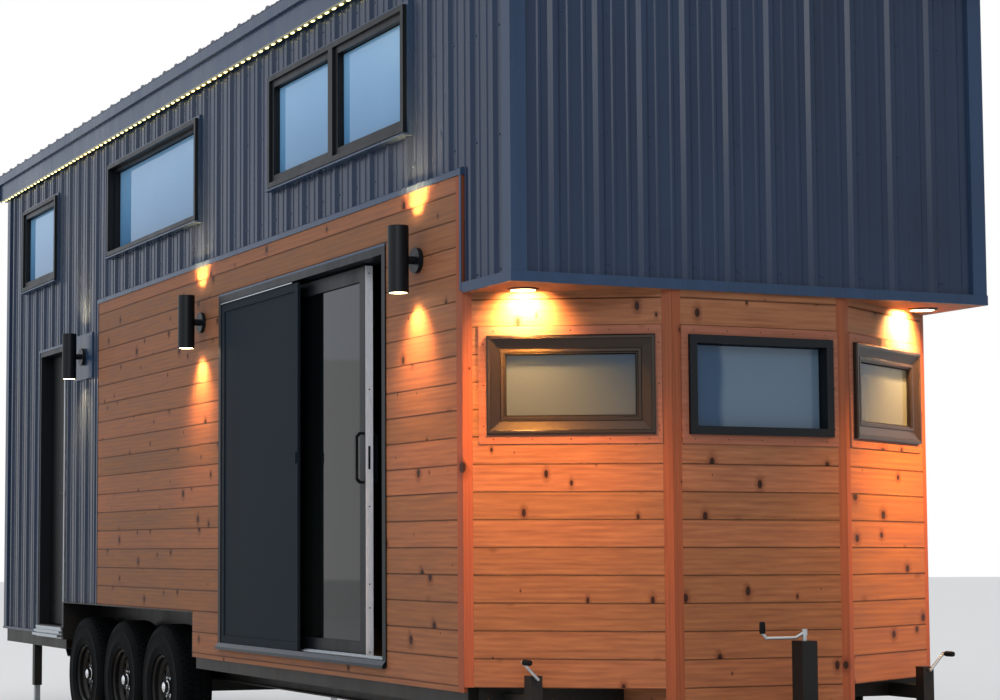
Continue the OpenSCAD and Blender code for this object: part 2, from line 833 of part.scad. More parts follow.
module tongue_jack_crank() color("#b8bcc0") set_down() at_tongue_jack() {
    grip_len = 50;
    bend = 20;
    arm_z = 2 * crank_r;
    grip_y = -tongue_crank_len;
    jack_screw(tongue_jack_top + crank_rise);
    translate([0, 0, tongue_jack_top]) {
        translate([0, 0, crank_rise - 2 * crank_r]) cylinder(r = screw_r + 3, h = 4 * crank_r, $fn = 48);
        bent_rod([[0, 0, crank_rise], [0, -tongue_jack_w * 0.6, arm_z], [0, grip_y + bend, arm_z],
                  [0, grip_y, arm_z + bend], [0, grip_y, arm_z + bend + grip_len / 2]]);
        translate([0, grip_y, arm_z + bend]) grip(grip_len);
    }
}

module front_jack_crank(side) color("#b8bcc0") set_down()
    at_front_jack(side) translate([0, 0, front_jack_top - crank_drop]) rotate([side * -45, 0, 0]) {
        arm_x = corner_jack_w / 2 + crank_drop;
        grip_len = 60;
        bent_rod([[corner_jack_w / 4, 0, 0], [arm_x, 0, 0], [arm_x, 0, corner_crank_len],
                  [arm_x + crank_drop, 0, corner_crank_len]]);
        translate([arm_x + crank_drop, 0, corner_crank_len]) rotate([0, 90, 0]) grip(grip_len);
    }
module front_jack_crank_door() front_jack_crank(-1);
module front_jack_crank_far() front_jack_crank(1);

// Shell

module floor_deck() color("#b59a73") set_down() difference() {
    upright(frame_top_z, floor_z) polygon(house_outline(clad_t));
    both_sides() well_hole();
}

module loft_floor() color("#b59a73") set_down() {
    d = skin_d + tiny;
    front = nose_core - wall_t - tiny;
    upright(soffit_z, soffit_z + overhang_t) polygon([
        [-loft_len, d - half_w], [side_end(d), d - half_w], [front, -flank_y(front, d)],
        [front, flank_y(front, d)], [side_end(d), half_w - d], [-loft_len, half_w - d]]);
}

// Outline of a long wall's front pier, mitred to the bay
function pier_front(x0) = [
    [x0, -core_y], [side_end(clad_t) - tiny, -core_y],
    [side_end(skin_d) - tiny, -inner_y], [x0, -inner_y]
];

module door_side_piers() color("#c9b08a") set_down() difference() {
    union() {
        wall_slab(rear_core, -entry_x - entry_w, floor_z, door_head_z);
        wall_slab(-entry_x, -patio_x - patio_w, floor_z, door_head_z);
        upright(floor_z, door_head_z) polygon(pier_front(-patio_x));
    }
    well_hole(entry_gap);
}

module long_upper_wall() {
    wall_slab(rear_core, nose_core, door_head_z, top_z);
    wall_slab(0, nose_core, soffit_z + overhang_t, door_head_z);
}

module door_side_upper_wall() color("#c9b08a") set_down() difference() {
    long_upper_wall();
    upper_window_holes(upper_win_h);
    above_roof();
}

module far_side_wall() color("#c9b08a") set_down() difference() {
    mirror([0, 1, 0]) difference() {
        union() {
            long_upper_wall();
            upright(floor_z, door_head_z) polygon(pier_front(rear_core));
        }
        upper_window_holes(upper_win_h);
        well_hole();
    }
    above_roof();
}

module rear_wall() color("#c9b08a") set_down() difference() {
    block([rear_core, -inner_y, floor_z], [rear_core + wall_t, inner_y, top_z]);
    above_roof();
}

// Plan of a wall's framing between two corners, mitred by half of each corner's turn
function mitred(len, turn0, turn1) = [
    [clad_t * tan(turn0 / 2) + tiny, clad_t], [skin_d * tan(turn0 / 2) + tiny, skin_d],
    [len - skin_d * tan(turn1 / 2) - tiny, skin_d], [len - clad_t * tan(turn1 / 2) - tiny, clad_t]
];

module bay_walls() color("#c9b08a") set_down() {
    both_sides() difference() {
        on_flank() upright(floor_z, soffit_z) polygon(mitred(flank_len, bay_turn, side_turn));
        at_flank_window() bay_hole(flank_win_w);
    }
    on_mid_face() difference() {
        translate([-bay_w / 2, 0, 0]) upright(floor_z, soffit_z) polygon(mitred(bay_w, bay_turn, bay_turn));
        bay_hole(mid_win_w);
    }
}

module nose_wall() color("#c9b08a") set_down() difference() {
    union() {
        block([nose_core - wall_t, -inner_y, soffit_z + overhang_t], [nose_core, inner_y, top_z]);
        block([nose_core - wall_t, tiny - bay_w / 2, soffit_z],
              [nose_core, bay_w / 2 - tiny, soffit_z + overhang_t]);
    }
    above_roof();
}

module overhang_floors() color("#c9b08a") set_down() both_sides() difference() {
    upright(soffit_z, soffit_z + overhang_t)
        polygon([[0, -core_y], [nose_core, -core_y], [nose_core, -bay_w / 2], [0, -bay_w / 2]]);
    on_flank() block([-house_w, skin_d, 0], [house_w, house_w, roof_high_z]);
}

// Roof

// Cuts what lies on the roof's slope to upright ends
module upright_ends(reach) intersection() {
    children();
    block([roof_rear - house_w, -half_w - reach, 0], [roof_nose + house_w, half_w + reach, top_z]);
}

module roof_deck() color("#a58b62") set_down()
    upright_ends(deck_out) on_roof()
        block([roof_rear, -eave_out, -roof_t], [roof_nose, roof_run + eave_out, 0]);

// Profile of one rib, standing up from the flat sheet
function rib_points(x, base, crest, h) = [
    [x - base / 2, pan_t], [x - crest / 2, h], [x + crest / 2, h], [x + base / 2, pan_t]
];

// Section of a ribbed sheet: a major rib at the datum and at each pitch, two minor ribs between
function sheet_points(x0, x1, datum, margin) = concat(
    [[x0, 0], [x0, pan_t]],
    [for (i = [ceil((x0 + margin + rib_base / 2 - datum) * 3 / rib_pitch) :
               floor((x1 - margin - rib_base / 2 - datum) * 3 / rib_pitch)])
        each i % 3 == 0 ? rib_points(datum + i * rib_pitch / 3, rib_base, rib_crest, rib_h)
                        : rib_points(datum + i * rib_pitch / 3, minor_base, minor_crest, pan_t + minor_h)],
    [[x1, pan_t], [x1, 0]]);

module roof_sheets() color("#3b4552") set_down()
    upright_ends(eave_out) on_roof() rotate([90, 0, 0]) mirror([0, 0, 1])
        translate([0, 0, -2 * eave_out]) linear_extrude(roof_run + 4 * eave_out)
            polygon(sheet_points(roof_rear, roof_nose, rear_core, rib_crest));

module fascia() color("#2b3440") set_down() {
    y_in = half_w + deck_out;
    y_mid = y_in + fascia_t;
    y_out = half_w + eave_out;
    far_z = roof_high_z - (y_in + y_out) * tan(roof_slope) - seat;
    block([roof_rear, -y_mid, fascia_z], [roof_nose, -y_in, roof_high_z - seat]);
    block([roof_rear, -y_out, fascia_z + fascia_h], [roof_nose, -y_mid, roof_high_z - seat]);
    block([roof_rear, y_in, far_z - eave_h], [roof_nose, y_mid, far_z]);
    block([roof_rear, y_mid, far_z - eave_h + fascia_h], [roof_nose, y_out, far_z]);
    upright_ends(eave_out) on_roof() for (x = [roof_rear - fascia_t - seat, roof_nose + seat])
        block([x, -2 * eave_out, -eave_h], [x + fascia_t, roof_run + 2 * eave_out, rib_h]);
}

module light_strip() color("#ffe08a") set_down()
    block([roof_rear, -half_w - deck_out - fascia_t, fascia_z - strip_h],
          [roof_nose, -half_w - deck_out, fascia_z]);

// Siding

metal_low_z = frame_top_z + base_h + seat;
nose_low_z = soffit_z + drip_h + seat;
rib_margin = angle_w - clad_t + tiny;
ring_w = surround_w + seat;
lamp_board_x = -lamp_x[2];

// Ribbed sheet standing against the framing of a wall's frame
module upright_sheet(x0, x1, z0, z1, datum) {
    translate([0, clad_t, 0]) mirror([0, 1, 0]) upright(z0, z1)
        polygon(sheet_points(x0, x1, datum, rib_margin));
}

module lamp_board_hole(grow) {
    block([lamp_board_x - lamp_board_w / 2 - grow, -past, lamp_z - grow],
          [lamp_board_x + lamp_board_w / 2 + grow, clad_t + past, lamp_z + lamp_h + grow]);
}

// Ribbed siding of a long wall round the cedar and above the overhang
module long_metal() {
    on_door_side() difference() {
        upright_sheet(rear_core, nose_core, metal_low_z, top_z, nose_out - side_rib_start);
        block([-cedar_len, -past, 0], [0, clad_t + past, cedar_top_z + seat]);
        block([-past, -past, 0], [nose_out, clad_t + past, nose_low_z]);
    }
}

module metal_siding() color("#2b3440") set_down() {
    difference() {
        long_metal();
        upper_window_holes(upper_win_h, ring_w);
        entry_hole(ring_w);
        well_hole(entry_gap);
        on_door_side() lamp_board_hole(seat);
        above_roof();
    }
    difference() {
        mirror([0, 1, 0]) difference() {
            long_metal();
            upper_window_holes(upper_win_h, ring_w);
            well_hole();
        }
        above_roof();
    }
    difference() {
        on_nose() upright_sheet(tiny - core_y, core_y - tiny, nose_low_z, top_z, nose_rib_y + rib_pitch / 2);
        above_roof();
    }
    difference() {
        on_rear() upright_sheet(tiny - core_y, core_y - tiny, metal_low_z, top_z, rib_pitch / 2);
        above_roof();
    }
}

// Plan of a folded angle round a corner at the origin, over the sheets' flat parts
module corner_angle(z0) {
    in = clad_t - pan_t - seat;
    upright(z0, top_z) polygon([[0, 0], [angle_w, 0], [angle_w, in], [in, in], [in, angle_w], [0, angle_w]]);
}

// Outline of the overhang's three outer sides, a distance outside its framing
function nose_band(x0, d) = [
    [x0, -core_y - d], [nose_core + d, -core_y - d], [nose_core + d, core_y + d], [x0, core_y + d]
];

lip_t = 8;
lip_h = 10;
drip_out = clad_t + 3;
flash_out = 6;
sill_out = 33;
head_trim_h = 12;
trim_proud = 4;

module drip_band() {
    upright(soffit_z, soffit_z + drip_h) difference() {
        polygon(nose_band(0, drip_out));
        polygon(nose_band(-past, 0));
    }
    upright(soffit_z - lip_h, soffit_z) difference() {
        polygon(nose_band(lip_h, drip_out));
        polygon(nose_band(-past, drip_out - lip_t));
    }
}

// Trims of a long wall's cedar: its top flashing, its rear end and its edge beside the overhang
module cedar_trims() {
    on_door_side() {
        running(-cedar_len, -seat) polygon([
            [clad_t, cedar_top_z - cap_h], [-flash_out, cedar_top_z - cap_h], [-flash_out, cedar_top_z - lip_t],
            [clad_t - rib_h, cedar_top_z], [clad_t, cedar_top_z]]);
        block([-cedar_len, -trim_proud, well_top_z + seat],
              [end_trim_w - cedar_len, clad_t, cedar_top_z - cap_h]);
        block([-end_trim_w, -trim_proud, soffit_z], [-seat, -seat, cedar_top_z - cap_h - seat]);
    }
}

// Trims round the upper windows, with sills that throw the water off
module window_trims() {
    on_door_side() for (i = [0:2]) {
        x0 = -win_x[i] - win_w[i];
        x1 = -win_x[i];
        z1 = upper_sill_z + upper_win_h;
        standing(-trim_proud, clad_t) difference() {
            translate([x0 - surround_w, upper_sill_z - surround_w])
                square([x1 - x0 + 2 * surround_w, z1 - upper_sill_z + 2 * surround_w]);
            translate([x0, upper_sill_z]) square([x1 - x0, z1 - upper_sill_z]);
        }
        block([x0 - surround_w, -sill_out, upper_sill_z - surround_w],
              [x1 + surround_w, -trim_proud, upper_sill_z - surround_w + lip_h]);
    }
}

// Trims of the door side alone: below the siding, round the entry, over the patio door, behind the lamp
module door_side_trims() {
    entry_rear = -entry_x - entry_w;
    base(rear_core, entry_rear - surround_w - seat);
    on_door_side() {
        block([entry_rear - surround_w, -trim_proud, floor_z], [entry_rear, clad_t, door_head_z]);
        block([entry_rear - surround_w, -trim_proud, door_head_z],
              [surround_w - entry_x, clad_t, door_head_z + surround_w]);
        block([-patio_x - patio_w, -2 * trim_proud, door_head_z + seat],
              [-patio_x, clad_t, door_head_z + head_trim_h]);
        block([lamp_board_x - lamp_board_w / 2, 0, lamp_z],
              [lamp_board_x + lamp_board_w / 2, clad_t, lamp_z + lamp_h]);
    }
}

// Flashing below a stretch of a long wall's siding
module base(x0, x1) {
    block([x0, -half_w - trim_proud, frame_top_z], [x1, -core_y, frame_top_z + base_h]);
}

module flashings() color("#33414f") set_down() {
    difference() {
        both_sides() {
            translate([nose_out, -half_w, 0]) rotate(90) corner_angle(nose_low_z);
            translate([rear_face, -half_w, 0]) corner_angle(metal_low_z);
        }
        above_roof();
    }
    drip_band();
    both_sides() {
        cedar_trims();
        window_trims();
    }
    door_side_trims();
    mirror([0, 1, 0]) base(rear_core, -well_end - seat);
    block([rear_face - trim_proud, -half_w - trim_proud, frame_top_z],
          [rear_core, half_w + trim_proud, frame_top_z + base_h]);
}

// Section of boards: depth from their outer face and height, a groove at each joint
module board_section(z0, z1) {
    difference() {
        translate([0, z0]) square([clad_t, z1 - z0]);
        for (k = [ceil((z0 + groove_w - board_datum) / board_pitch) :
                  floor((z1 - groove_w - board_datum) / board_pitch)])
            translate([0, board_datum + k * board_pitch])
                polygon([[groove_d, groove_w / 2], [-tiny, groove_w / 2], [-tiny, -groove_w], [0, -groove_w]]);
    }
}

module boards(x0, x1, z0, z1) {
    running(x0, x1) board_section(z0, z1);
}

module long_cedar() {
    on_door_side()
        boards(end_trim_w - cedar_len + tiny, -end_board_w - tiny, skirt_z, cedar_top_z - cap_h - tiny);
}

// Room round a window's casings in the boards
module casing_room(w, near, far) {
    bay_hole(w, near + tiny, far + tiny, casing_w + tiny);
}

module cedar_siding() color("#a4572f") set_down() {
    difference() {
        long_cedar();
        patio_hole(head_trim_h + tiny);
        well_hole();
    }
    mirror([0, 1, 0]) difference() {
        long_cedar();
        well_hole();
    }
    both_sides() {
        difference() {
            on_flank() boards(corner_board_w + tiny, flank_len - corner_board_w - tiny, flank_z, soffit_z);
            at_flank_window() casing_room(flank_win_w, near_casing_w, side_casing_w);
        }
        block([seat, casing_out - bay_w / 2, nose_skirt_z],
              [bay_face - clad_t - seat, casing_out - bay_w / 2 + thin_board_t, flank_z]);
    }
    on_mid_face() difference() {
        boards(corner_board_w + tiny - bay_w / 2, bay_w / 2 - corner_board_w - tiny, nose_skirt_z, soffit_z);
        casing_room(mid_win_w, mid_casing_w, mid_casing_w);
    }
}

// Plan of a corner board from its corner, mitred there by half of the corner's turn
module corner_board(w, turn, z0, z1) {
    upright(z0, z1)
        polygon([[tiny, 0], [w, 0], [w, clad_t], [clad_t * tan(turn / 2) + tiny, clad_t]]);
}

module corner_boards() color("#8d4526") set_down() both_sides() {
    on_door_side() mirror([1, 0, 0]) corner_board(end_board_w, side_turn, skirt_z, cedar_top_z - cap_h - tiny);
    on_flank() {
        corner_board(corner_board_w, bay_turn, nose_skirt_z, soffit_z);
        translate([flank_len, 0, 0]) mirror([1, 0, 0])
            corner_board(corner_board_w, side_turn, flank_z, soffit_z);
    }
    on_mid_face() translate([-bay_w / 2, 0, 0]) corner_board(corner_board_w, bay_turn, nose_skirt_z, soffit_z);
}

// Boards under the overhang, outside the slanting faces
module soffit_boards() color("#a4572f") set_down() both_sides() {
    y = core_y + drip_out - lip_t - seat;
    x = nose_core + drip_out - lip_t - seat;
    upright(soffit_z - thin_board_t, soffit_z)
        polygon([[flank_x(y, -tiny), -y], [x, -y], [x, -flank_y(x, -tiny)]]);
}

// Windows

// A frame w by h in X and Z, standing from one depth to another
module frame_ring(w, h, face, y0, y1) {
    standing(y0, y1) difference() {
        square([w, h]);
        translate([face, face]) square([w - 2 * face, h - 2 * face]);
    }
}

// The lower rear corner of an upper window, inside its hole
module at_upper(i) {
    on_door_side() translate([seat - win_x[i] - win_w[i], 0, upper_sill_z + seat]) children();
}

sash_d = 50;
frame_in = frame_d - frame_out;

// One sash's width where a frame w wide holds n of them
function sash_width(w, n) = (w - 2 * frame_w - (n - 1) * mullion_w) / n;

module upper_frames() {
    h = upper_win_h - 2 * seat;
    sash_y = sash_back - frame_out;
    for (i = [0:2]) at_upper(i) {
        w = win_w[i] - 2 * seat;
        n = win_sashes[i];
        step = sash_width(w, max(n, 1)) + mullion_w;
        frame_ring(w, h, frame_w, -frame_out, frame_in);
        for (k = [0 : 1 : n - 1]) translate([frame_w + k * step, 0, frame_w])
            frame_ring(step - mullion_w, h - 2 * frame_w, sash_w, sash_y, sash_y + sash_d);
        for (k = [1 : 1 : n - 1])
            block([frame_w + k * step - mullion_w, -frame_out, frame_w],
                  [frame_w + k * step, frame_in, h - frame_w]);
        if (n == 0) translate([frame_w, 0, frame_w])
            frame_ring(w - 2 * frame_w, h - 2 * frame_w, sash_w / 2, fixed_back - frame_out - sash_w, frame_in);
    }
}

// A pane w by h behind a frame, at a setback from the frame's face
module pane(x, z, w, h, back) {
    block([x, back - frame_out, z], [x + w, back - frame_out + glass_t, z + h]);
}

module upper_panes() {
    h = upper_win_h - 2 * seat;
    for (i = [0:2]) at_upper(i) {
        w = win_w[i] - 2 * seat;
        n = win_sashes[i];
        rim = frame_w + (n == 0 ? sash_w / 2 : sash_w);
        step = sash_width(w, max(n, 1)) + mullion_w;
        back = n == 0 ? fixed_back : glass_back - glass_t;
        for (k = [0 : max(n, 1) - 1])
            pane(rim + k * step, rim, step - mullion_w - 2 * (rim - frame_w), h - 2 * rim, back);
    }
}

mid_rim = frame_w + sash_w / 4;

// The lower left corner of a bay window, inside its hole
module in_bay_hole(w) {
    translate([seat - w / 2, 0, bay_sill_z + seat]) children();
}

module window_frames() color("#14171b") set_down() {
    both_sides() upper_frames();
    on_mid_face() in_bay_hole(mid_win_w)
        frame_ring(mid_win_w - 2 * seat, bay_win_h - 2 * seat, mid_rim, -frame_out, frame_in);
}

// Section of a moulded frame: depth, and distance from its outer edge
mould_section = [
    [frame_in, 0], [-24, 0], [-30, 7], [-30, 16], [-25, 21], [-10, mould_w - 24], [-14, mould_w - 20],
    [-14, mould_w - 8], [-5, mould_w - 4], [-5, mould_w], [frame_in, mould_w]
];

// One side of a moulded frame along X, cut to its mitres
module moulded_side(len) {
    intersection() {
        running(0, len) polygon(mould_section);
        standing(-past, frame_d) polygon([
            [seat, 0], [len - seat, 0], [len - mould_w - seat, mould_w], [mould_w + seat, mould_w]]);
    }
}

module bay_window_frames() color("#3a2a20") set_down() both_sides() at_flank_window() in_bay_hole(flank_win_w) {
    w = flank_win_w - 2 * seat;
    h = bay_win_h - 2 * seat;
    moulded_side(w);
    translate([0, 0, h]) mirror([0, 0, 1]) moulded_side(w);
    mirror([1, 0, -1]) moulded_side(h);
    translate([w, 0, 0]) mirror([1, 0, 0]) mirror([1, 0, -1]) moulded_side(h);
}

// Four mitred boards round a bay window's hole, the side ones with widths of their own
module casing(w, near, far) {
    x0 = -w / 2 - near;
    x1 = w / 2 + far;
    in = w / 2;
    h = bay_win_h;
    c = casing_w;
    translate([0, 0, bay_sill_z]) standing(-casing_out, clad_t) {
        polygon([[x0 + seat, h + c], [x1 - seat, h + c], [in - seat, h], [seat - in, h]]);
        polygon([[x0 + seat, -c], [x1 - seat, -c], [in - seat, 0], [seat - in, 0]]);
        polygon([[x0, h + c - seat], [-in, h - seat], [-in, seat], [x0, seat - c]]);
        polygon([[x1, h + c - seat], [in, h - seat], [in, seat], [x1, seat - c]]);
    }
}

module window_casings() color("#9a5a33") set_down() {
    both_sides() at_flank_window() casing(flank_win_w, near_casing_w, side_casing_w);
    on_mid_face() casing(mid_win_w, mid_casing_w, mid_casing_w);
}

// The pane of a bay window whose hole is w wide, inside a frame
module bay_pane(w, rim, back) {
    in_bay_hole(w) pane(rim, rim, w - 2 * seat - 2 * rim, bay_win_h - 2 * seat - 2 * rim, back);
}

module window_glass() color("#8fb4d6", 0.5) set_down() {
    both_sides() {
        upper_panes();
        at_flank_window() bay_pane(flank_win_w, mould_w, frame_out + mould_glass_back);
    }
    on_mid_face() bay_pane(mid_win_w, mid_rim, glass_back);
    on_door_side() translate([patio_x0 + seat, fixed_y, patio_low + seat]) panel_pane(fixed_h);
}

// Doors: depths are counted from the siding's outer face into the wall

patio_face = -8;
patio_in = 145;
screen_y = -4;
panel_step = door_gap + panel_t;
fixed_y = patio_in - panel_t;
sliding_y = fixed_y - panel_step;
patio_low = floor_z + patio_sill_h;
patio_high = door_head_z - patio_frame_w;
patio_x0 = -patio_x - patio_w + patio_frame_w;
patio_x1 = -patio_x - patio_frame_w;
panel_w = (patio_x1 - patio_x0 + stile_w) / 2;
fixed_h = patio_high - patio_low - 2 * seat;
sliding_h = patio_high - patio_low - 2 * door_gap;
entry_sill_h = 20;
entry_low = floor_z + entry_sill_h;
entry_x0 = -entry_x - entry_w + entry_frame_w;
entry_x1 = -entry_x - entry_frame_w;
entry_in = entry_recess + entry_t;
pane_t = 12;
edge_strip_t = 3;
hinge_r = 7;
hinge_pin_r = 3.5;
hinge_h = 90;
hinge_leaf = 32;
knuckle_h = 25;
hinge_x = entry_x0 + door_gap / 2;
hinge_y = entry_in + hinge_r + 1;
entry_top = door_head_z - entry_frame_w - door_gap;
hinge_z = [entry_low + hinge_h, (entry_low + entry_top - hinge_h) / 2, entry_top - 2 * hinge_h];

// One knuckle of a hinge with its plate, towards the frame or towards the leaf
module knuckle(z, h, plate_x) {
    block([min(hinge_x, plate_x), entry_in, z], [max(hinge_x, plate_x), entry_in + edge_strip_t, z + h]);
    translate([hinge_x, hinge_y, z]) cylinder(r = hinge_r, h = h, $fn = 48);
}

module hinge_pin(z, h, r) {
    translate([hinge_x, hinge_y, z]) cylinder(r = r, h = h, $fn = 48);
}

module door_frames() color("#14171b") set_down() on_door_side() {
    difference() {
        block([-patio_x - patio_w, patio_face, floor_z], [-patio_x, patio_in, door_head_z]);
        block([patio_x0, patio_face - past, patio_low], [patio_x1, patio_in + past, patio_high]);
    }
    difference() {
        block([-entry_x - entry_w, seat, floor_z], [-entry_x, entry_in, door_head_z]);
        block([entry_x0, -past, entry_low], [entry_x1, entry_in + past, door_head_z - entry_frame_w]);
    }
    for (z = hinge_z) {
        knuckle(z, knuckle_h, hinge_x - hinge_leaf);
        knuckle(z + hinge_h - knuckle_h, knuckle_h, hinge_x - hinge_leaf);
        hinge_pin(z, hinge_h, hinge_pin_r);
    }
}

module panel_frame(h) {
    frame_ring(panel_w, h, stile_w, 0, panel_t);
}

module panel_pane(h) {
    block([stile_w, (panel_t - pane_t) / 2, stile_w], [panel_w - stile_w, (panel_t + pane_t) / 2, h - stile_w]);
}

module patio_fixed_panel() color("#14171b") set_down() on_door_side()
    translate([patio_x0 + seat, fixed_y, patio_low + seat]) panel_frame(fixed_h);

module at_slider() {
    on_door_side() translate([patio_x1 - patio_ajar - panel_w, sliding_y, patio_low + seat]) children();
}

// A bow pull on one face of the sliding panel, reaching out along -Y
module bow_pull() {
    t = 2 * crank_r;
    bend = pull_out / 2;
    translate([0, 0, pull_z - patio_sill_h - pull_h / 2]) running(-crank_r, crank_r) polygon([
        [tiny, 0], [bend - pull_out, 0], [-pull_out, bend], [-pull_out, pull_h - bend],
        [bend - pull_out, pull_h], [tiny, pull_h], [tiny, pull_h - t], [bend - pull_out + t / 2, pull_h - t],
        [t - pull_out, pull_h - bend - t / 2], [t - pull_out, bend + t / 2],
        [bend - pull_out + t / 2, t], [tiny, t]]);
}

module patio_sliding_panel() color("#14171b") set_down() at_slider() {
    panel_frame(sliding_h);
    translate([panel_w - stile_w / 2, 0, 0]) {
        bow_pull();
        translate([0, panel_t, 0]) mirror([0, 1, 0]) bow_pull();
    }
}

module patio_sliding_glass() color("#8fb4d6", 0.5) set_down() at_slider() panel_pane(sliding_h);

lock_h = 120;
lock_w = 14;

module patio_edge_strip() color("#aab4bc") set_down() at_slider() difference() {
    block([panel_w + seat, 0, 0], [panel_w + edge_strip_t, panel_t, sliding_h]);
    block([panel_w - past, (panel_t - lock_w) / 2, pull_z - patio_sill_h - lock_h / 2],
          [panel_w + past, (panel_t + lock_w) / 2, pull_z - patio_sill_h + lock_h / 2]);
}

screen_rim = 45;
mesh_t = 3;
latch = [20, 8, 60];

module patio_screen() color("#1d252b") set_down() on_door_side()
    translate([patio_x0 + door_gap, screen_y, patio_low + seat]) {
        frame_ring(panel_w, sliding_h, screen_rim, 0, screen_t);
        block([screen_rim, (screen_t - mesh_t) / 2, screen_rim],
              [panel_w - screen_rim, (screen_t + mesh_t) / 2, sliding_h - screen_rim]);
        translate([panel_w - screen_rim / 2 - latch[0] / 2, -latch[1], pull_z - patio_sill_h])
            cube(latch);
    }

// A lever on one face of the entry door, reaching out along -Y, its grip towards the hinges
module lever() {
    rotate([90, 0, 0]) {
        cylinder(r = 26, h = 9, $fn = 48);
        cylinder(r = 10, h = 50, $fn = 32);
    }
    rod([0, -42, 0], [-125, -42, 0], 9);
}

module entry_door() color("#1a1d21") set_down() on_door_side() {
    x0 = entry_x0 + door_gap;
    x1 = entry_x1 - door_gap;
    block([x0, entry_recess, entry_low + door_gap], [x1, entry_in, entry_top]);
    for (z = hinge_z) difference() {
        knuckle(z + knuckle_h + seat, hinge_h - 2 * knuckle_h - 2 * seat, hinge_x + hinge_leaf);
        hinge_pin(z, hinge_h, hinge_pin_r + spindle_gap);
    }
    translate([x1 - stile_w, 0, floor_z + handle_z]) {
        translate([0, entry_recess, 0]) lever();
        translate([0, entry_in, 0]) mirror([0, 1, 0]) lever();
    }
}

treads = 3;
tread_pitch = 27;
tread_h = 18;
tread_out = 14;
tread_top = 12;

// The entry's ribbed threshold, each tread standing further out than the one above
module threshold() {
    for (i = [0 : treads - 1]) {
        z1 = floor_z + tread_top - i * tread_pitch;
        y0 = -(i + 1) * tread_out - trim_proud;
        block([-entry_x - entry_w, y0, z1 - tread_h], [-entry_x, -trim_proud, z1]);
    }
    block([-entry_x - entry_w, -trim_proud - lip_t, floor_z + tread_top - treads * tread_pitch],
          [-entry_x, -trim_proud, floor_z + tread_top]);
}

module aluminium_trims() color("#8f979d") set_down() on_door_side() {
    running(-patio_x - patio_w, -patio_x)
        polygon([[patio_face - seat, floor_z - lip_t], [patio_face - tread_h, floor_z - lip_t],
                 [patio_face - tread_h, floor_z + lip_t], [patio_face - seat, patio_low - seat]]);
    threshold();
    block([seat - entry_x, -trim_proud, well_top_z + seat], [surround_w - entry_x, clad_t, door_head_z - seat]);
}

// Lamps

lamp_wall = 3;
lamp_recess = 60;
lamp_plate_t = 22;
lamp_arm_r = 20;
soffit_lamp_h = 6;

module wall_lamps() color("#0f1114") set_down() on_door_side()
    for (x = lamp_x) translate([-x, 0, lamp_z]) {
        difference() {
            translate([0, -lamp_out, 0]) cylinder(r = lamp_r, h = lamp_h, $fn = 64);
            for (z = [-past, lamp_h - lamp_recess]) translate([0, -lamp_out, z])
                cylinder(r = lamp_r - lamp_wall, h = lamp_recess + past, $fn = 64);
        }
        translate([0, -seat, lamp_h / 2]) rotate([90, 0, 0]) {
            cylinder(r = lamp_plate_r, h = lamp_plate_t, $fn = 64);
            cylinder(r = lamp_arm_r, h = lamp_out - lamp_r + lamp_wall, $fn = 48);
        }
    }

module soffit_lights() color("#ffe9c0") set_down() both_sides()
    translate([soffit_lamp_x, soffit_lamp_in - half_w, soffit_z - thin_board_t - soffit_lamp_h])
        cylinder(r = soffit_lamp_r, h = soffit_lamp_h, $fn = 64);

frame_rails();
cross_members();
tongue_beams();
coupler();
axles();
wheel_wells();
tyre_door_rear();
tyre_door_mid();
tyre_door_front();
tyre_far_rear();
tyre_far_mid();
tyre_far_front();
rim_door_rear();
rim_door_mid();
rim_door_front();
rim_far_rear();
rim_far_mid();
rim_far_front();
jack_tubes();
tongue_jack_leg();
front_jack_leg_door();
front_jack_leg_far();
rear_jack_leg_door();
rear_jack_leg_far();
tongue_jack_crank();
front_jack_crank_door();
front_jack_crank_far();
floor_deck();
loft_floor();
door_side_piers();
door_side_upper_wall();
far_side_wall();
rear_wall();
bay_walls();
nose_wall();
overhang_floors();
roof_deck();
roof_sheets();
fascia();
light_strip();
metal_siding();
flashings();
cedar_siding();
corner_boards();
soffit_boards();
window_frames();
bay_window_frames();
window_casings();
window_glass();
door_frames();
aluminium_trims();
patio_fixed_panel();
patio_sliding_panel();
patio_sliding_glass();
patio_edge_strip();
patio_screen();
entry_door();
wall_lamps();
soffit_lights();
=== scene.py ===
"""Looks of a tiny house on a triple-axle trailer, built around its packed construction."""

import logging
import math
from collections.abc import Iterable, Sequence
from dataclasses import dataclass
from enum import Enum

import bmesh
import bpy
from mathutils import Matrix, Vector


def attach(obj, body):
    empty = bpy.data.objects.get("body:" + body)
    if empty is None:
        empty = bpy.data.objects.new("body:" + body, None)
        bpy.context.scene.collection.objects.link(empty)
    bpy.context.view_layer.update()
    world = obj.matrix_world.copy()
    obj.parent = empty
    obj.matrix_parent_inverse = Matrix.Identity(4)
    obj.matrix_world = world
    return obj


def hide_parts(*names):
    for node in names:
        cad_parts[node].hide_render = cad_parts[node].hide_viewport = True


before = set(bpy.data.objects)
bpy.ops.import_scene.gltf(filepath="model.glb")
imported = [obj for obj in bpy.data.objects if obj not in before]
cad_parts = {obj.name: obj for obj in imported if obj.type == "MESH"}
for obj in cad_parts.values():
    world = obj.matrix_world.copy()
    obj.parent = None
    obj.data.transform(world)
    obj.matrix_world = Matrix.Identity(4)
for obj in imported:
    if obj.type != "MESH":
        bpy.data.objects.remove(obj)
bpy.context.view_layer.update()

LOG = logging.getLogger("tiny_house")
MM = 0.001
UNIT_MERGE_MM = 0.001
PIECE_MERGE_M = 1e-5
WHITE = "FFFFFF"
SIDES = {"door": -1, "far": 1}
AXLES = {"rear": -6180.0, "mid": -5320.0, "front": -4460.0}
Material = bpy.types.Material
Socket = bpy.types.NodeSocket
Value = Socket | float | str | tuple
Point = tuple[float, float, float]
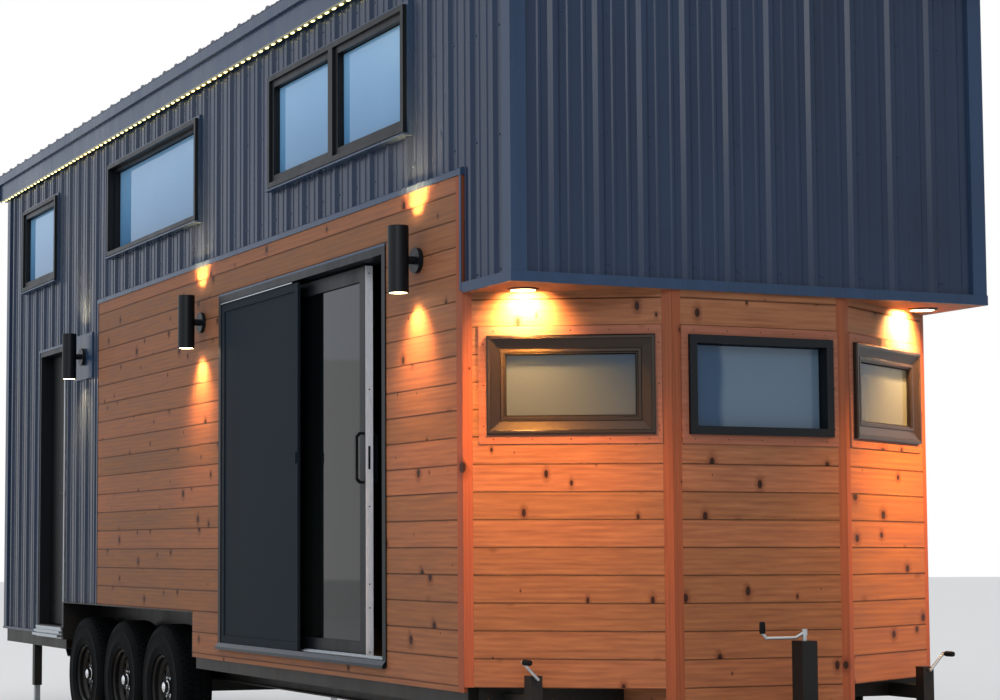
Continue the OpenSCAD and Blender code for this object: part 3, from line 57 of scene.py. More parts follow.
Outline = Sequence[tuple[float, float]]


def linear(code: str, alpha: float = 1.0) -> tuple[float, float, float, float]:
    """Turn an sRGB hex colour to linear.

    Args:
        code: Six hex digits.
        alpha: Opacity to append.

    Returns:
        Linear red, green, blue and alpha.
    """
    parts = []
    for start in (0, 2, 4):
        value = int(code[start : start + 2], 16) / 255
        parts.append(value / 12.92 if value <= 0.04045 else ((value + 0.055) / 1.055) ** 2.4)
    return (parts[0], parts[1], parts[2], alpha)


def plug(tree: bpy.types.NodeTree, socket: Socket, value: Value) -> None:
    """Link an output socket to an input, or set the input to a value.

    Args:
        tree: The tree that holds both.
        socket: The input.
        value: The output socket or the value.
    """
    if isinstance(value, Socket):
        tree.links.new(value, socket)
    else:
        socket.default_value = value


def add_node(
    tree: bpy.types.NodeTree, kind: str, settings: dict | None = None, **links: Value
) -> bpy.types.Node:
    """Add one node with its settings and its inputs.

    Args:
        tree: The node tree to add to.
        kind: The node's type name without its ShaderNode prefix.
        settings: Properties of the node itself.
        links: Inputs by name, spaces as underscores, or by number after an i.

    Returns:
        The new node.
    """
    node = tree.nodes.new("ShaderNode" + kind)
    for name, value in (settings or {}).items():
        setattr(node, name, value)
    for name, value in links.items():
        index = int(name[1:]) if name[0] == "i" and name[1:].isdigit() else name.replace("_", " ")
        plug(tree, node.inputs[index], value)
    return node


class Graph:
    """One material's shader tree, with the steps that the finishes share."""

    def __init__(self, name: str) -> None:
        """Start from a plain Principled shader."""
        self.material = bpy.data.materials.new(name)
        self.material.use_nodes = True
        self.tree = self.material.node_tree
        self.shader = self.tree.nodes["Principled BSDF"]
        self.coords = add_node(self.tree, "TexCoord").outputs["Object"]

    def maths(self, operation: str, *values: Value) -> Socket:
        """Do one step of arithmetic on some values, in order, and return its result."""
        links = {f"i{index}": value for index, value in enumerate(values)}
        return add_node(self.tree, "Math", {"operation": operation}, **links).outputs[0]

    def vectors(self, operation: str, first: Value, second: Value) -> Socket:
        """Combine two vectors by a VectorMath operation and return the result."""
        settings = {"operation": operation}
        return add_node(self.tree, "VectorMath", settings, i0=first, i1=second).outputs[0]

    def parts(self, place: Socket) -> bpy.types.bpy_prop_collection:
        """Split a place into its X, Y and Z."""
        return add_node(self.tree, "SeparateXYZ", Vector=place).outputs

    def noise(self, place: Socket, scale: float | Point, detail: float, **more: float) -> Socket:
        """Return soft noise, 0 to 1, with scale patches in each unit, or in each axis's unit."""
        if isinstance(scale, tuple):
            place, scale = self.vectors("MULTIPLY", place, scale), 1.0
        links = {"Vector": place, "Scale": scale, "Detail": detail, **more}
        return add_node(self.tree, "TexNoise", **links).outputs["Fac"]

    def remap(
        self, value: Socket, source: Sequence[Value], target: Sequence[Value], smooth: bool = False
    ) -> Socket:
        """Map a range of values on another, held at its ends.

        Args:
            value: What is mapped.
            source: The range's ends.
            target: What the ends become.
            smooth: Whether the change starts and ends gently.

        Returns:
            The mapped value.
        """
        return add_node(
            self.tree, "MapRange", {"interpolation_type": "SMOOTHSTEP" if smooth else "LINEAR"},
            Value=value, From_Min=source[0], From_Max=source[1], To_Min=target[0],
            To_Max=target[1],
        ).outputs[0]

    def blend(self, share: Value, first: Value, second: Value) -> Socket:
        """Mix two colours.

        Args:
            share: How much of the second shows.
            first: One colour, from a socket or as sRGB hex.
            second: The other.

        Returns:
            The mixed colour.
        """
        ends = [linear(end) if isinstance(end, str) else end for end in (first, second)]
        links = {"i0": share, "i6": ends[0], "i7": ends[1]}
        return add_node(self.tree, "Mix", {"data_type": "RGBA"}, **links).outputs[2]

    def shade(self, colour: Value, value: Value, hue: Value = 0.5) -> Socket:
        """Change a colour's brightness, 1 as it is, and its hue, 0.5 as it is."""
        start = linear(colour) if isinstance(colour, str) else colour
        return add_node(self.tree, "HueSaturation", Color=start, Value=value, Hue=hue).outputs[0]

    def feed(self, **inputs: Value) -> None:
        """Set or link the shader's inputs, their spaces written as underscores."""
        for name, value in inputs.items():
            plug(self.tree, self.shader.inputs[name.replace("_", " ")], value)

    def relief(self, height: Socket, strength: float, depth: float) -> None:
        """Raise the surface by a height, of which 1 stands out by the depth in metres."""
        bump = add_node(self.tree, "Bump", Height=height, Strength=strength, Distance=depth)
        self.feed(Normal=bump.outputs[0])


@dataclass(frozen=True)
class Plan:
    """The house's measures in millimetres from the bay corner, and the frames of its faces."""

    centre_x: float = 3625.0
    centre_y: float = 53.0
    half_w: float = 1295.0
    bay_face: float = 476.0
    bay_half: float = 470.0
    bay_sill_z: float = 1802.0
    bay_win_h: float = 456.0
    mid_win_w: float = 780.0
    flank_win_w: float = 766.0
    flank_win_shift: float = 18.0
    nose_out: float = 490.0
    rear_face: float = -8350.0
    floor_z: float = 705.0
    soffit_z: float = 2470.0
    door_head_z: float = 2790.0
    cedar_top_z: float = 3048.0
    upper_sill_z: float = 3315.0
    upper_win_h: float = 635.0
    upper_windows: tuple[tuple[float, float, int], ...] = (
        (590.0, 1835.0, 2), (3660.0, 1860.0, 0), (6850.0, 940.0, 1),
    )
    roof_high_z: float = 4330.0
    wheel_y: float = 1152.5
    tyre_r: float = 403.0
    cedar_len: float = 5790.0
    well_x: float = 3745.0
    well_end: float = 6615.0
    well_top_z: float = 905.0
    entry_x: float = 6620.0
    entry_w: float = 690.0
    patio_x: float = 850.0
    patio_w: float = 2420.0
    patio_frame_w: float = 40.0
    patio_ajar: float = 350.0

    def house(self) -> Matrix:
        """Return the frame of the whole house."""
        return Matrix.Scale(MM, 4) @ Matrix.Translation((self.centre_x, self.centre_y, 0.0))

    def door_side(self) -> Matrix:
        """Return the frame of the long wall with the doors, y into the wall."""
        return self.house() @ Matrix.Translation((0.0, -self.half_w, 0.0))

    def front(self, x: float) -> Matrix:
        """Return the frame of a face that looks ahead from x, its own x to the far side."""
        place = Matrix.Translation((x, 0.0, 0.0))
        return self.house() @ place @ Matrix.Rotation(math.pi / 2, 4, "Z")

    def mid_face(self) -> Matrix:
        """Return the frame of the bay's middle face."""
        return self.front(self.bay_face)

    def nose(self) -> Matrix:
        """Return the frame of the upper storey's front."""
        return self.front(self.nose_out)

    def flank(self) -> Matrix:
        """Return the frame of the door side's slanting face, x back from the middle face."""
        turn = math.atan2(self.bay_face, self.half_w - self.bay_half)
        place = Matrix.Translation((self.bay_face, -self.bay_half, 0.0))
        mirror = Matrix.Diagonal((1.0, -1.0, 1.0, 1.0))
        return self.house() @ place @ Matrix.Rotation(-math.pi / 2 - turn, 4, "Z") @ mirror

    def flank_window(self) -> float:
        """Return the place of the window's middle along the slanting face."""
        run = math.hypot(self.bay_face, self.half_w - self.bay_half)
        return run / 2 - self.flank_win_shift

    def rear(self) -> Matrix:
        """Return the frame of the rear wall, x towards the door side."""
        place = Matrix.Translation((self.rear_face, 0.0, 0.0))
        return self.house() @ place @ Matrix.Rotation(-math.pi / 2, 4, "Z")

    def far(self, face: Matrix) -> Matrix:
        """Return the frame of a door side's face mirrored to the far side."""
        house = self.house()
        return house @ Matrix.Diagonal((1.0, -1.0, 1.0, 1.0)) @ house.inverted() @ face

    def wheel(self, x: float, side: int) -> Matrix:
        """Return the frame of the wheel at x on a side, +Z outwards along its axle."""
        place = Matrix.Translation((x, side * self.wheel_y, self.tyre_r))
        return self.house() @ place @ Matrix.Rotation(-side * math.pi / 2, 4, "X")


PLAN = Plan()


class Shaper:
    """A bmesh under work, with the moves that the pieces share."""

    def __init__(self) -> None:
        """Start with an empty mesh."""
        self.mesh = bmesh.new()

    def slab(self, low: Point, high: Point, bevel: float = 0.0, segments: int = 1) -> None:
        """Add a block with softened edges.

        Args:
            low: Its lowest corner.
            high: Its highest corner.
            bevel: Width of the softened edges.
            segments: Steps across a softened edge.
        """
        made = bmesh.ops.create_cube(self.mesh, size=1.0)["verts"]
        bmesh.ops.scale(self.mesh, vec=Vector(high) - Vector(low), verts=made)
        bmesh.ops.translate(self.mesh, vec=(Vector(high) + Vector(low)) / 2, verts=made)
        if bevel:
            self.soften({edge for vert in made for edge in vert.link_edges}, bevel, segments)

    def soften(self, edges: Iterable[bmesh.types.BMEdge], width: float, segments: int = 1) -> None:
        """Bevel some edges to a width, in so many segments."""
        bmesh.ops.bevel(
            self.mesh, geom=list(edges), offset=width, segments=segments, profile=0.5,
            affect="EDGES", material=-1,
        )

    def rod(self, start: Point, end: Point, radius: float, sides: int = 24) -> None:
        """Add a round bar between two points.

        Args:
            start: Middle of one end.
            end: Middle of the other end.
            radius: Its radius.
            sides: Facets round it.
        """
        run = Vector(end) - Vector(start)
        place = Matrix.Translation((Vector(start) + Vector(end)) / 2)
        bmesh.ops.create_cone(
            self.mesh, cap_ends=True, segments=sides, radius1=radius, radius2=radius,
            depth=run.length, matrix=place @ run.to_track_quat("Z", "Y").to_matrix().to_4x4(),
        )

    def turned(self, outline: Outline, steps: int, closed: bool = False) -> None:
        """Spin an outline of radius and height about Z.

        Args:
            outline: Radius and height of each point.
            steps: Facets round the axis.
            closed: Whether the outline closes on itself, or else ends on the axis.
        """
        verts = [self.mesh.verts.new((radius, 0.0, height)) for radius, height in outline]
        pairs = list(zip(verts, verts[1:])) + ([(verts[-1], verts[0])] if closed else [])
        edges = [self.mesh.edges.new(pair) for pair in pairs]
        bmesh.ops.spin(
            self.mesh, geom=verts + edges, cent=(0.0, 0.0, 0.0), axis=(0.0, 0.0, 1.0),
            angle=math.tau, steps=steps, use_merge=True,
        )

    def ring(self, low: Point, high: Point, face: float, bevel: float = 0.0) -> None:
        """Add a frame that stands in X and Z.

        Args:
            low: Its lowest corner.
            high: Its highest corner.
            face: Width of its bars.
            bevel: Width of its softened edges.
        """
        made = bmesh.ops.create_grid(self.mesh, x_segments=1, y_segments=1, size=0.5)["verts"]
        turn = Matrix.Rotation(math.pi / 2, 4, "X")
        span = (high[0] - low[0], 1.0, high[2] - low[2])
        middle = ((low[0] + high[0]) / 2, low[1], (low[2] + high[2]) / 2)
        place = Matrix.Translation(middle) @ Matrix.Diagonal((*span, 1.0)) @ turn
        bmesh.ops.transform(self.mesh, matrix=place, verts=made)
        sheet = made[0].link_faces[0]
        bars = bmesh.ops.inset_region(
            self.mesh, faces=[sheet], thickness=face, use_boundary=True, use_even_offset=True
        )["faces"]
        bmesh.ops.delete(self.mesh, geom=[sheet], context="FACES_ONLY")
        rim = bmesh.ops.extrude_face_region(self.mesh, geom=bars)["geom"]
        moved = [item for item in rim if isinstance(item, bmesh.types.BMVert)]
        bmesh.ops.translate(self.mesh, vec=(0.0, high[1] - low[1], 0.0), verts=moved)
        if bevel:
            self.soften({edge for vert in moved for edge in vert.link_edges}, bevel)

    def stamp(self, unit: "Shaper", places: Iterable[Matrix]) -> None:
        """Add cleaned copies of another shape.

        Args:
            unit: The shape to copy, which this uses up.
            places: Where each copy goes.
        """
        data = unit.to_mesh("unit")
        for place in places:
            copy = data.copy()
            copy.transform(place)
            self.mesh.from_mesh(copy)
            bpy.data.meshes.remove(copy)
        bpy.data.meshes.remove(data)

    def move(self, place: Matrix) -> None:
        """Move everything made so far into a frame."""
        bmesh.ops.transform(self.mesh, matrix=place, verts=self.mesh.verts)

    def to_mesh(
        self, name: str, merge: float = UNIT_MERGE_MM, smooth_deg: float = 32.0
    ) -> bpy.types.Mesh:
        """Clean the mesh and hand it over.

        Args:
            name: The mesh's name.
            merge: Distance under which points are merged.
            smooth_deg: Angle under which neighbouring faces are shaded as one.

        Returns:
            The finished mesh.
        """
        bmesh.ops.remove_doubles(self.mesh, verts=self.mesh.verts, dist=merge)
        bmesh.ops.recalc_face_normals(self.mesh, faces=self.mesh.faces)
        for face in self.mesh.faces:
            face.smooth = True
        data = bpy.data.meshes.new(name)
        self.mesh.to_mesh(data)
        self.mesh.free()
        data.set_sharp_from_angle(angle=math.radians(smooth_deg))
        return data

    def piece(
        self, name: str, material: Material, slot: str, body: str = "root",
        replaces: Sequence[str] = (),
    ) -> bpy.types.Object:
        """Make the mesh a piece of the house.

        Args:
            name: The piece's name.
            material: Its finish.
            slot: Not used.
            body: The body that it rides on.
            replaces: The nodes that it stands for.

        Returns:
            The piece.
        """
        data = self.to_mesh(name, PIECE_MERGE_M)
        data.materials.append(material)
        made = bpy.data.objects.new(name, data)
        bpy.context.scene.collection.objects.link(made)
        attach(made, body)
        if replaces:
            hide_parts(*replaces)
        LOG.info("%s: %d faces on %s", name, len(data.polygons), body)
        return made


class GrainRun(Enum):
    """Which way a board's grain runs."""

    LEVEL = "level"
    UPRIGHT = "upright"


@dataclass(frozen=True)
class Finish:
    """One material, which each kind of finish draws in its own way."""

    name: str

    def build(self) -> Material:
        """Make the material.

        Returns:
            The material.
        """
        graph = Graph(self.name)
        self.draw(graph)
        return graph.material

    def draw(self, graph: Graph) -> None:
        """Draw the finish in the material's tree."""
        raise NotImplementedError


@dataclass(frozen=True)
class StainedCedar(Finish):
    """Knotty western cedar boards, planed and wiped with a penetrating red-brown stain.

    Planing shows the ring lines as long flames, the stain sinks deeper into the soft early wood
    and round the knots, and each board took it a little differently.
    """

    name: str = "stained_cedar"
    run: GrainRun = GrainRun.LEVEL
    dark_hex: str = "5A3222"
    light_hex: str = "9E6C4B"
    # Colour of the knots, and of the painted shade under each board's lap.
    knot_and_lap_shade_hex: str = "27130D"
    ring_hex: str = "4E2416"
    pitch_mm: float = 126.4
    datum_mm: float = 1290.0
    ring_mm: float = 26.0
    knot_step_mm: float = 230.0
    slant: float = 1.4

    def draw(self, graph: Graph) -> None:
        """Draw boards, knots, rings and fibres, and the painted shade under each board's lap."""
        place = graph.parts(graph.coords)
        side = graph.maths("MULTIPLY_ADD", place["Y"], self.slant, place["X"])
        level = self.run is GrainRun.LEVEL
        along, across = (side, place["Z"]) if level else (place["Z"], side)
        pitch, datum = self.pitch_mm * MM, self.datum_mm * MM
        row = graph.maths("MULTIPLY_ADD", across, 1 / pitch, -datum / pitch)
        board = graph.maths("FLOOR", row)
        chance = add_node(
            graph.tree, "TexWhiteNoise", {"noise_dimensions": "1D"}, W=board
        ).outputs
        flat = add_node(graph.tree, "CombineXYZ", X=along, Y=across).outputs[0]
        own = graph.vectors("ADD", flat, chance["Color"])
        knot, halo = self.add_knots(graph, own)
        rings = self.add_rings(graph, own, halo)
        fibres = graph.noise(own, (3.2, 62.0, 1.0), 5.0)
        wood = self.add_wood(graph, rings, fibres, chance["Value"])
        rough = graph.remap(fibres, (0.3, 0.7), (0.5, 0.68))
        graph.feed(
            Base_Color=self.add_marks_and_lap_shade(graph, wood, knot, halo, row), Roughness=rough,
            Specular_IOR_Level=0.14,
        )
        height = graph.maths("MULTIPLY_ADD", rings, 0.4, fibres)
        graph.relief(graph.maths("SUBTRACT", height, knot), 0.35, 0.0006)

    def add_knots(self, graph: Graph, place: Socket) -> tuple[Socket, Socket]:
        """Scatter knots of many sizes.

        Args:
            graph: The material's tree.
            place: Coordinates along and across the board.

        Returns:
            The knots' mask and the mask of the stain round them.
        """
        step = 1000 / self.knot_step_mm
        cells = graph.vectors("MULTIPLY", place, (step, step * 0.85, 1.0))
        cell = add_node(
            graph.tree, "TexVoronoi", {"voronoi_dimensions": "2D"}, Vector=cells, Scale=1.0
        ).outputs
        chance = add_node(graph.tree, "SeparateColor", i0=cell["Color"]).outputs[0]
        size = graph.remap(chance, (0.3, 1.0), (0.0, 0.1))
        inner = graph.maths("MULTIPLY", size, 0.62)
        outer = graph.maths("MULTIPLY_ADD", size, 2.6, 0.001)
        knot = graph.remap(cell["Distance"], (size, inner), (0.0, 1.0), smooth=True)
        halo = graph.remap(cell["Distance"], (outer, inner), (0.0, 1.0), smooth=True)
        return knot, halo

    def add_rings(self, graph: Graph, place: Socket, halo: Socket) -> Socket:
        """Draw the ring lines as long flames that run round the knots.

        Args:
            graph: The material's tree.
            place: Coordinates along and across the board.
            halo: The mask round the knots, which pushes the lines aside.

        Returns:
            The lines, 0 to 1.
        """
        warp = graph.maths("MULTIPLY", halo, 0.022)
        push = add_node(graph.tree, "CombineXYZ", Y=warp).outputs[0]
        bent = graph.vectors("ADD", place, push)
        return add_node(
            graph.tree, "TexWave", {"bands_direction": "Y"},
            Vector=graph.vectors("MULTIPLY", bent, (0.05, 1.0, 1.0)), Scale=314 / self.ring_mm,
            Distortion=9.0, Detail=2.0, Detail_Scale=0.55, Detail_Roughness=0.5,
        ).outputs["Fac"]

    def add_wood(self, graph: Graph, rings: Socket, fibres: Socket, chance: Socket) -> Socket:
        """Colour the clear wood, each board a little apart from the next.

        Args:
            graph: The material's tree.
            rings: The ring lines.
            fibres: The fibres.
            chance: A number of each board's own.

        Returns:
            The wood's colour.
        """
        tone = graph.maths("MULTIPLY_ADD", rings, 0.1, graph.maths("MULTIPLY", fibres, 0.95))
        wood = graph.blend(tone, self.dark_hex, self.light_hex)
        value = graph.remap(chance, (0.0, 1.0), (0.86, 1.14))
        hue = graph.remap(chance, (0.0, 1.0), (0.504, 0.496))
        return graph.shade(wood, value, hue)

    def add_marks_and_lap_shade(
        self, graph: Graph, wood: Socket, knot: Socket, halo: Socket, row: Socket
    ) -> Socket:
        """Darken the wood at its knots, and paint shade at the top of each board, under the lap of
        the board above.

        Args:
            graph: The material's tree.
            wood: The clear wood's colour.
            knot: The knots' mask.
            halo: The mask of the stain round them.
            row: How many boards up from the datum.

        Returns:
            The marked wood's colour.
        """
        stained = graph.blend(graph.maths("MULTIPLY", halo, 0.55), wood, self.ring_hex)
        knotted = graph.blend(knot, stained, self.knot_and_lap_shade_hex)
        # Painted shade: the top of each board darkens to the knots' colour, where the board above
        # laps over it.
        lap_shade = graph.remap(graph.maths("FRACT", row), (0.93, 0.99), (0.0, 0.8), smooth=True)
        return graph.blend(lap_shade, knotted, self.knot_and_lap_shade_hex)


@dataclass(frozen=True)
class CoatedSteel(Finish):
    """Roll-formed steel sheet with a baked charcoal coating.

    The coating is even and satin, so the ribs read by the sky that they reflect; rain leaves faint
    upright runs and dust settles low on the walls.
    """

    hex_code: str
    roughness: float = 0.4
    run_step_mm: float = 90.0
    peel_mm: float = 5.0
    dust: float = 0.1

    def draw(self, graph: Graph) -> None:
        """Draw the coating's runs, its dust and its orange peel."""
        step = 1000 / self.run_step_mm
        runs = graph.noise(graph.coords, (step, step, 0.5), 4.0)
        wear = graph.maths("ADD", runs, graph.noise(graph.coords, 1.3, 3.0))
        spread = (0.7, 1.3)
        paint = graph.shade(self.hex_code, graph.remap(wear, spread, (0.86, 1.14)))
        low = graph.remap(graph.parts(graph.coords)["Z"], (0.4, 1.5), (self.dust, 0.0))
        rough = (self.roughness - 0.06, self.roughness + 0.08)
        graph.feed(
            Base_Color=graph.blend(graph.maths("MULTIPLY", low, wear), paint, "8C867C"),
            Roughness=graph.remap(wear, spread, rough),
            Specular_IOR_Level=0.17,
        )
        graph.relief(graph.noise(graph.coords, 1000 / self.peel_mm, 1.0), 0.06, 0.0003)


@dataclass(frozen=True)
class Metal(Finish):
    """Bare, plated or anodised metal with its own fine grain.

    The grain spreads the highlights, so an edge shows as a soft bright line. Where a sill's colour
    is given, what lies ahead of and below the sill's place is painted in it.
    """

    hex_code: str
    roughness: float = 0.3
    grain_mm: float = 6.0
    stretch: float = 1.0
    metallic: float = 1.0
    relief: float = 0.08
    sill_hex: str = ""
    sill_x: float = 0.28
    sill_z: float = 0.76

    def draw(self, graph: Graph) -> None:
        """Draw the grain, and the sill's paint."""
        step = 1000 / self.grain_mm
        grain = graph.noise(graph.coords, (step, step, step / self.stretch), 3.0)
        spread = (0.3, 0.7)
        colour = graph.shade(self.hex_code, graph.remap(grain, spread, (0.88, 1.08)))
        if self.sill_hex:
            place = graph.parts(graph.coords)
            ahead = graph.maths("GREATER_THAN", place["X"], self.sill_x)
            below = graph.maths("LESS_THAN", place["Z"], self.sill_z)
            colour = graph.blend(graph.maths("MULTIPLY", ahead, below), colour, self.sill_hex)
        rough = (self.roughness * 0.8, self.roughness * 1.2)
        graph.feed(
            Base_Color=colour, Roughness=graph.remap(grain, spread, rough), Metallic=self.metallic
        )
        graph.relief(grain, self.relief, 0.0003)


@dataclass(frozen=True)
class Rubber(Finish):
    """Moulded tyre rubber, dusty from the road.

    The mould leaves it dull and slightly grained, and grey dust stays on what touched the road.
    """

    name: str = "tyre_rubber"
    hex_code: str = "030507"
    dust_hex: str = "0A0E12"
    grain_mm: float = 3.0

    def draw(self, graph: Graph) -> None:
        """Draw the dust and the mould's grain."""
        dust = graph.remap(graph.noise(graph.coords, 14.0, 6.0), (0.42, 0.75), (0.0, 0.5))
        colour = graph.blend(dust, self.hex_code, self.dust_hex)
        graph.feed(Base_Color=colour, Roughness=0.85, Specular_IOR_Level=0.08)
        graph.relief(graph.noise(graph.coords, 1000 / self.grain_mm, 2.0), 0.2, 0.0004)


@dataclass(frozen=True)
class PaintedReflectionGlass(Finish):
    """Float glass with a low-emission coating, in a sealed double pane.

    Each pane's two tones, and their soft shift over its height or width, are painted reflections:
    of the sky on the upper windows, of a building on the bay's middle pane and of the ground on the
    bay's flanks; the patio's dark tones are painted shade.
    """

    low_hex: str
    high_hex: str
    axis: str = "Z"
    low_mm: float = 0.0
    high_mm: float = 1000.0
    transmission: float = 0.25
    drift: float = 0.12

    def draw(self, graph: Graph) -> None:
        """Draw the painted reflection's tones."""
        cloud = graph.noise(graph.coords, 2.2, 1.0)
        place = graph.maths(
            "MULTIPLY_ADD", cloud, self.drift, graph.parts(graph.coords)[self.axis]
        )
        ends = [edge * MM + self.drift / 2 for edge in (self.low_mm, self.high_mm)]
        # Painted reflection and shade: the pane's colour shifts from one tone to the other along
        # this axis.
        turn = graph.remap(place, ends, (0.0, 1.0), smooth=True)
        graph.feed(
            Base_Color=graph.blend(turn, self.low_hex, self.high_hex), Roughness=0.03, IOR=1.5,
            Specular_IOR_Level=0.22, Transmission_Weight=self.transmission,
        )


@dataclass(frozen=True)
class WovenMesh(Finish):
    """Glass-fibre insect screen, woven plain and coated dark grey.

    The threads are drawn four times as coarse as real, so that the weave still shows.
    """

    name: str = "insect_mesh"
    thread_hex: str = "14202A"
    gap_hex: str = "090F15"
    thread_mm: float = 6.0

    def draw(self, graph: Graph) -> None:
        """Draw the threads that cross."""
        lines = [
            add_node(
                graph.tree, "TexWave", {"bands_direction": axis}, Vector=graph.coords,
                Scale=314 / self.thread_mm,
            ).outputs["Fac"]
            for axis in ("X", "Z")
        ]
        weave = graph.maths("MAXIMUM", *lines)
        colour = graph.blend(weave, self.gap_hex, self.thread_hex)
        graph.feed(Base_Color=colour, Roughness=0.7, Specular_IOR_Level=0.1)
        graph.relief(weave, 0.3, 0.0005)


@dataclass(frozen=True)
class Plywood(Finish):
    """Sheathing plywood, sanded, with the rotary-cut face veneer's broad grain."""

    dark_hex: str
    light_hex: str

    def draw(self, graph: Graph) -> None:
        """Draw the veneer's grain."""
        grain = graph.noise(graph.coords, (1.5, 12.0, 12.0), 5.0, Distortion=1.2)
        graph.feed(Base_Color=graph.blend(grain, self.dark_hex, self.light_hex), Roughness=0.65)
        graph.relief(grain, 0.15, 0.0005)


@dataclass(frozen=True)
class LitLens(Finish):
    """Opal acrylic lens with a lamp behind it, which it spreads evenly."""

    hex_code: str
    strength: float

    def draw(self, graph: Graph) -> None:
        """Draw the lens's glow."""
        level = (self.strength * 0.85, self.strength * 1.15)
        glow = graph.remap(graph.noise(graph.coords, 30.0, 1.0), (0.3, 0.7), level)
        colour = linear(self.hex_code)
        graph.feed(
            Base_Color=colour, Roughness=0.3, Emission_Color=colour, Emission_Strength=glow
        )


class Palette:
    """Every finish of the house, each made once."""

    def __init__(self) -> None:
        """Make the materials."""
        self.cedar = StainedCedar().build()
        self.cedar_trim = StainedCedar(
            "stained_cedar_trim", GrainRun.UPRIGHT, "6B3623", "96543A", pitch_mm=3000.0,
            datum_mm=0.0, knot_step_mm=320.0,
        ).build()
        self.cedar_casing = StainedCedar(
            "stained_cedar_casing", GrainRun.LEVEL, "6A3E2C", "9A6450", pitch_mm=3000.0,
            datum_mm=0.0, knot_step_mm=260.0,
        ).build()
        self.siding = CoatedSteel("charcoal_ribbed_steel", "222F44", roughness=0.25).build()
        self.flashing = CoatedSteel("charcoal_folded_steel", "283A53", roughness=0.28).build()
        self.frame_black = CoatedSteel("powder_coat_black", "0B1015", dust=0.0).build()
        self.chassis = CoatedSteel("chassis_enamel", "08090B", roughness=0.42, dust=0.04).build()
        self.rim_black = CoatedSteel(
            "satin_rim_enamel", "08090B", roughness=0.3, dust=0.02
        ).build()
        self.door_black = CoatedSteel(
            "satin_door_enamel", "07090C", roughness=0.45, dust=0.0
        ).build()
        self.bronze = Metal(
            "bronze_anodised_aluminium", "2A211B", roughness=0.26, grain_mm=1.5, metallic=0.6,
            relief=0.02,
        ).build()
        mill = ("A9B1B8", 0.32, 6.0, 12.0)
        self.aluminium = Metal("mill_aluminium", *mill).build()
        self.trim = Metal("mill_and_painted_aluminium", *mill, sill_hex="1C262F").build()
        self.strip = Metal(
            "satin_anodised_strip", "DADCE4", roughness=0.5, stretch=12.0, metallic=0.1,
            relief=0.03,
        ).build()
        self.zinc = Metal("zinc_plated_steel", "A3A8AC", roughness=0.38, grain_mm=9.0).build()
        self.chrome = Metal("chrome_plate", "D4D8DC", roughness=0.1, relief=0.01).build()
        self.rubber = Rubber().build()
        self.gasket = Rubber("gasket_rubber", "0B0D0F", "15181B").build()
        self.grip = Rubber("crank_grip_rubber", "101214", "1E2124").build()
        # Glass colours are painted reflections of the sky, a building and the ground, and painted
        # shade on the patio's panes.
        self.sky_reflection_glass = PaintedReflectionGlass(
            "upper_window_glass", "5488B4", "7FB2DC", low_mm=3300, high_mm=3950, transmission=0.1
        ).build()
        self.dusk_reflection_glass = PaintedReflectionGlass(
            "bay_middle_glass", "27496A", "5F7488", axis="Y", low_mm=-150, high_mm=-110
        ).build()
        self.flank_reflection_glass = PaintedReflectionGlass(
            "bay_flank_glass", "475157", "37485A", low_mm=2120, high_mm=2180
        ).build()
        self.shade_glass = PaintedReflectionGlass(
            "patio_glass", "101413", "080C0E", low_mm=900, high_mm=2400, transmission=0.15
        ).build()
        self.mesh = WovenMesh().build()
        self.ply = Plywood("floor_plywood", "8E6B45", "C6A070").build()
        self.sheathing = Plywood("wall_sheathing", "A08764", "CDB48C").build()
        self.warm_lens = LitLens("warm_lens", "FFDDA8", 22.0).build()
        self.rope_lens = LitLens("rope_light_lens", "F6EC9C", 3.4).build()
        self.rope_tube = LitLens("rope_light_tube", "6E6A3C", 0.12).build()


@dataclass
class Construction:
    """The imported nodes, each given its finish."""

    finishes: Palette

    def build(self) -> None:
        """Assign every node's material."""
        wheels = [f"{tag}_{spot}" for tag in SIDES for spot in AXLES]
        groups = {
            "chassis": "frame_rails cross_members tongue_beams coupler axles wheel_wells"
            " jack_tubes",
            "zinc": "tongue_jack_leg front_jack_leg_door front_jack_leg_far rear_jack_leg_door"
            " rear_jack_leg_far tongue_jack_crank front_jack_crank_door front_jack_crank_far",
            "ply": "floor_deck loft_floor",
            "sheathing": "door_side_piers door_side_upper_wall far_side_wall rear_wall bay_walls"
            " nose_wall overhang_floors roof_deck",
            "siding": "metal_siding roof_sheets",
            "flashing": "fascia flashings",
            "cedar": "cedar_siding soffit_boards",
            "cedar_trim": "corner_boards",
            "cedar_casing": "window_casings",
            "frame_black": "window_frames door_frames patio_fixed_panel patio_sliding_panel"
            " wall_lamps",
            "bronze": "bay_window_frames",
            "mesh": "patio_screen",
            "door_black": "entry_door",
            "strip": "patio_edge_strip",
            "trim": "aluminium_trims",
            "shade_glass": "patio_sliding_glass",
            "sky_reflection_glass": "window_glass",
            "rope_tube": "light_strip",
            "warm_lens": "soffit_lights",
            "rim_black": " ".join(f"rim_{wheel}" for wheel in wheels),
            "rubber": " ".join(f"tyre_{wheel}" for wheel in wheels),
        }
        for finish, names in groups.items():
            for name in names.split():
                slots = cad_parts[name].data.materials
                slots.clear()
                slots.append(getattr(self.finishes, finish))
        LOG.info("finished %d nodes", sum(len(names.split()) for names in groups.values()))


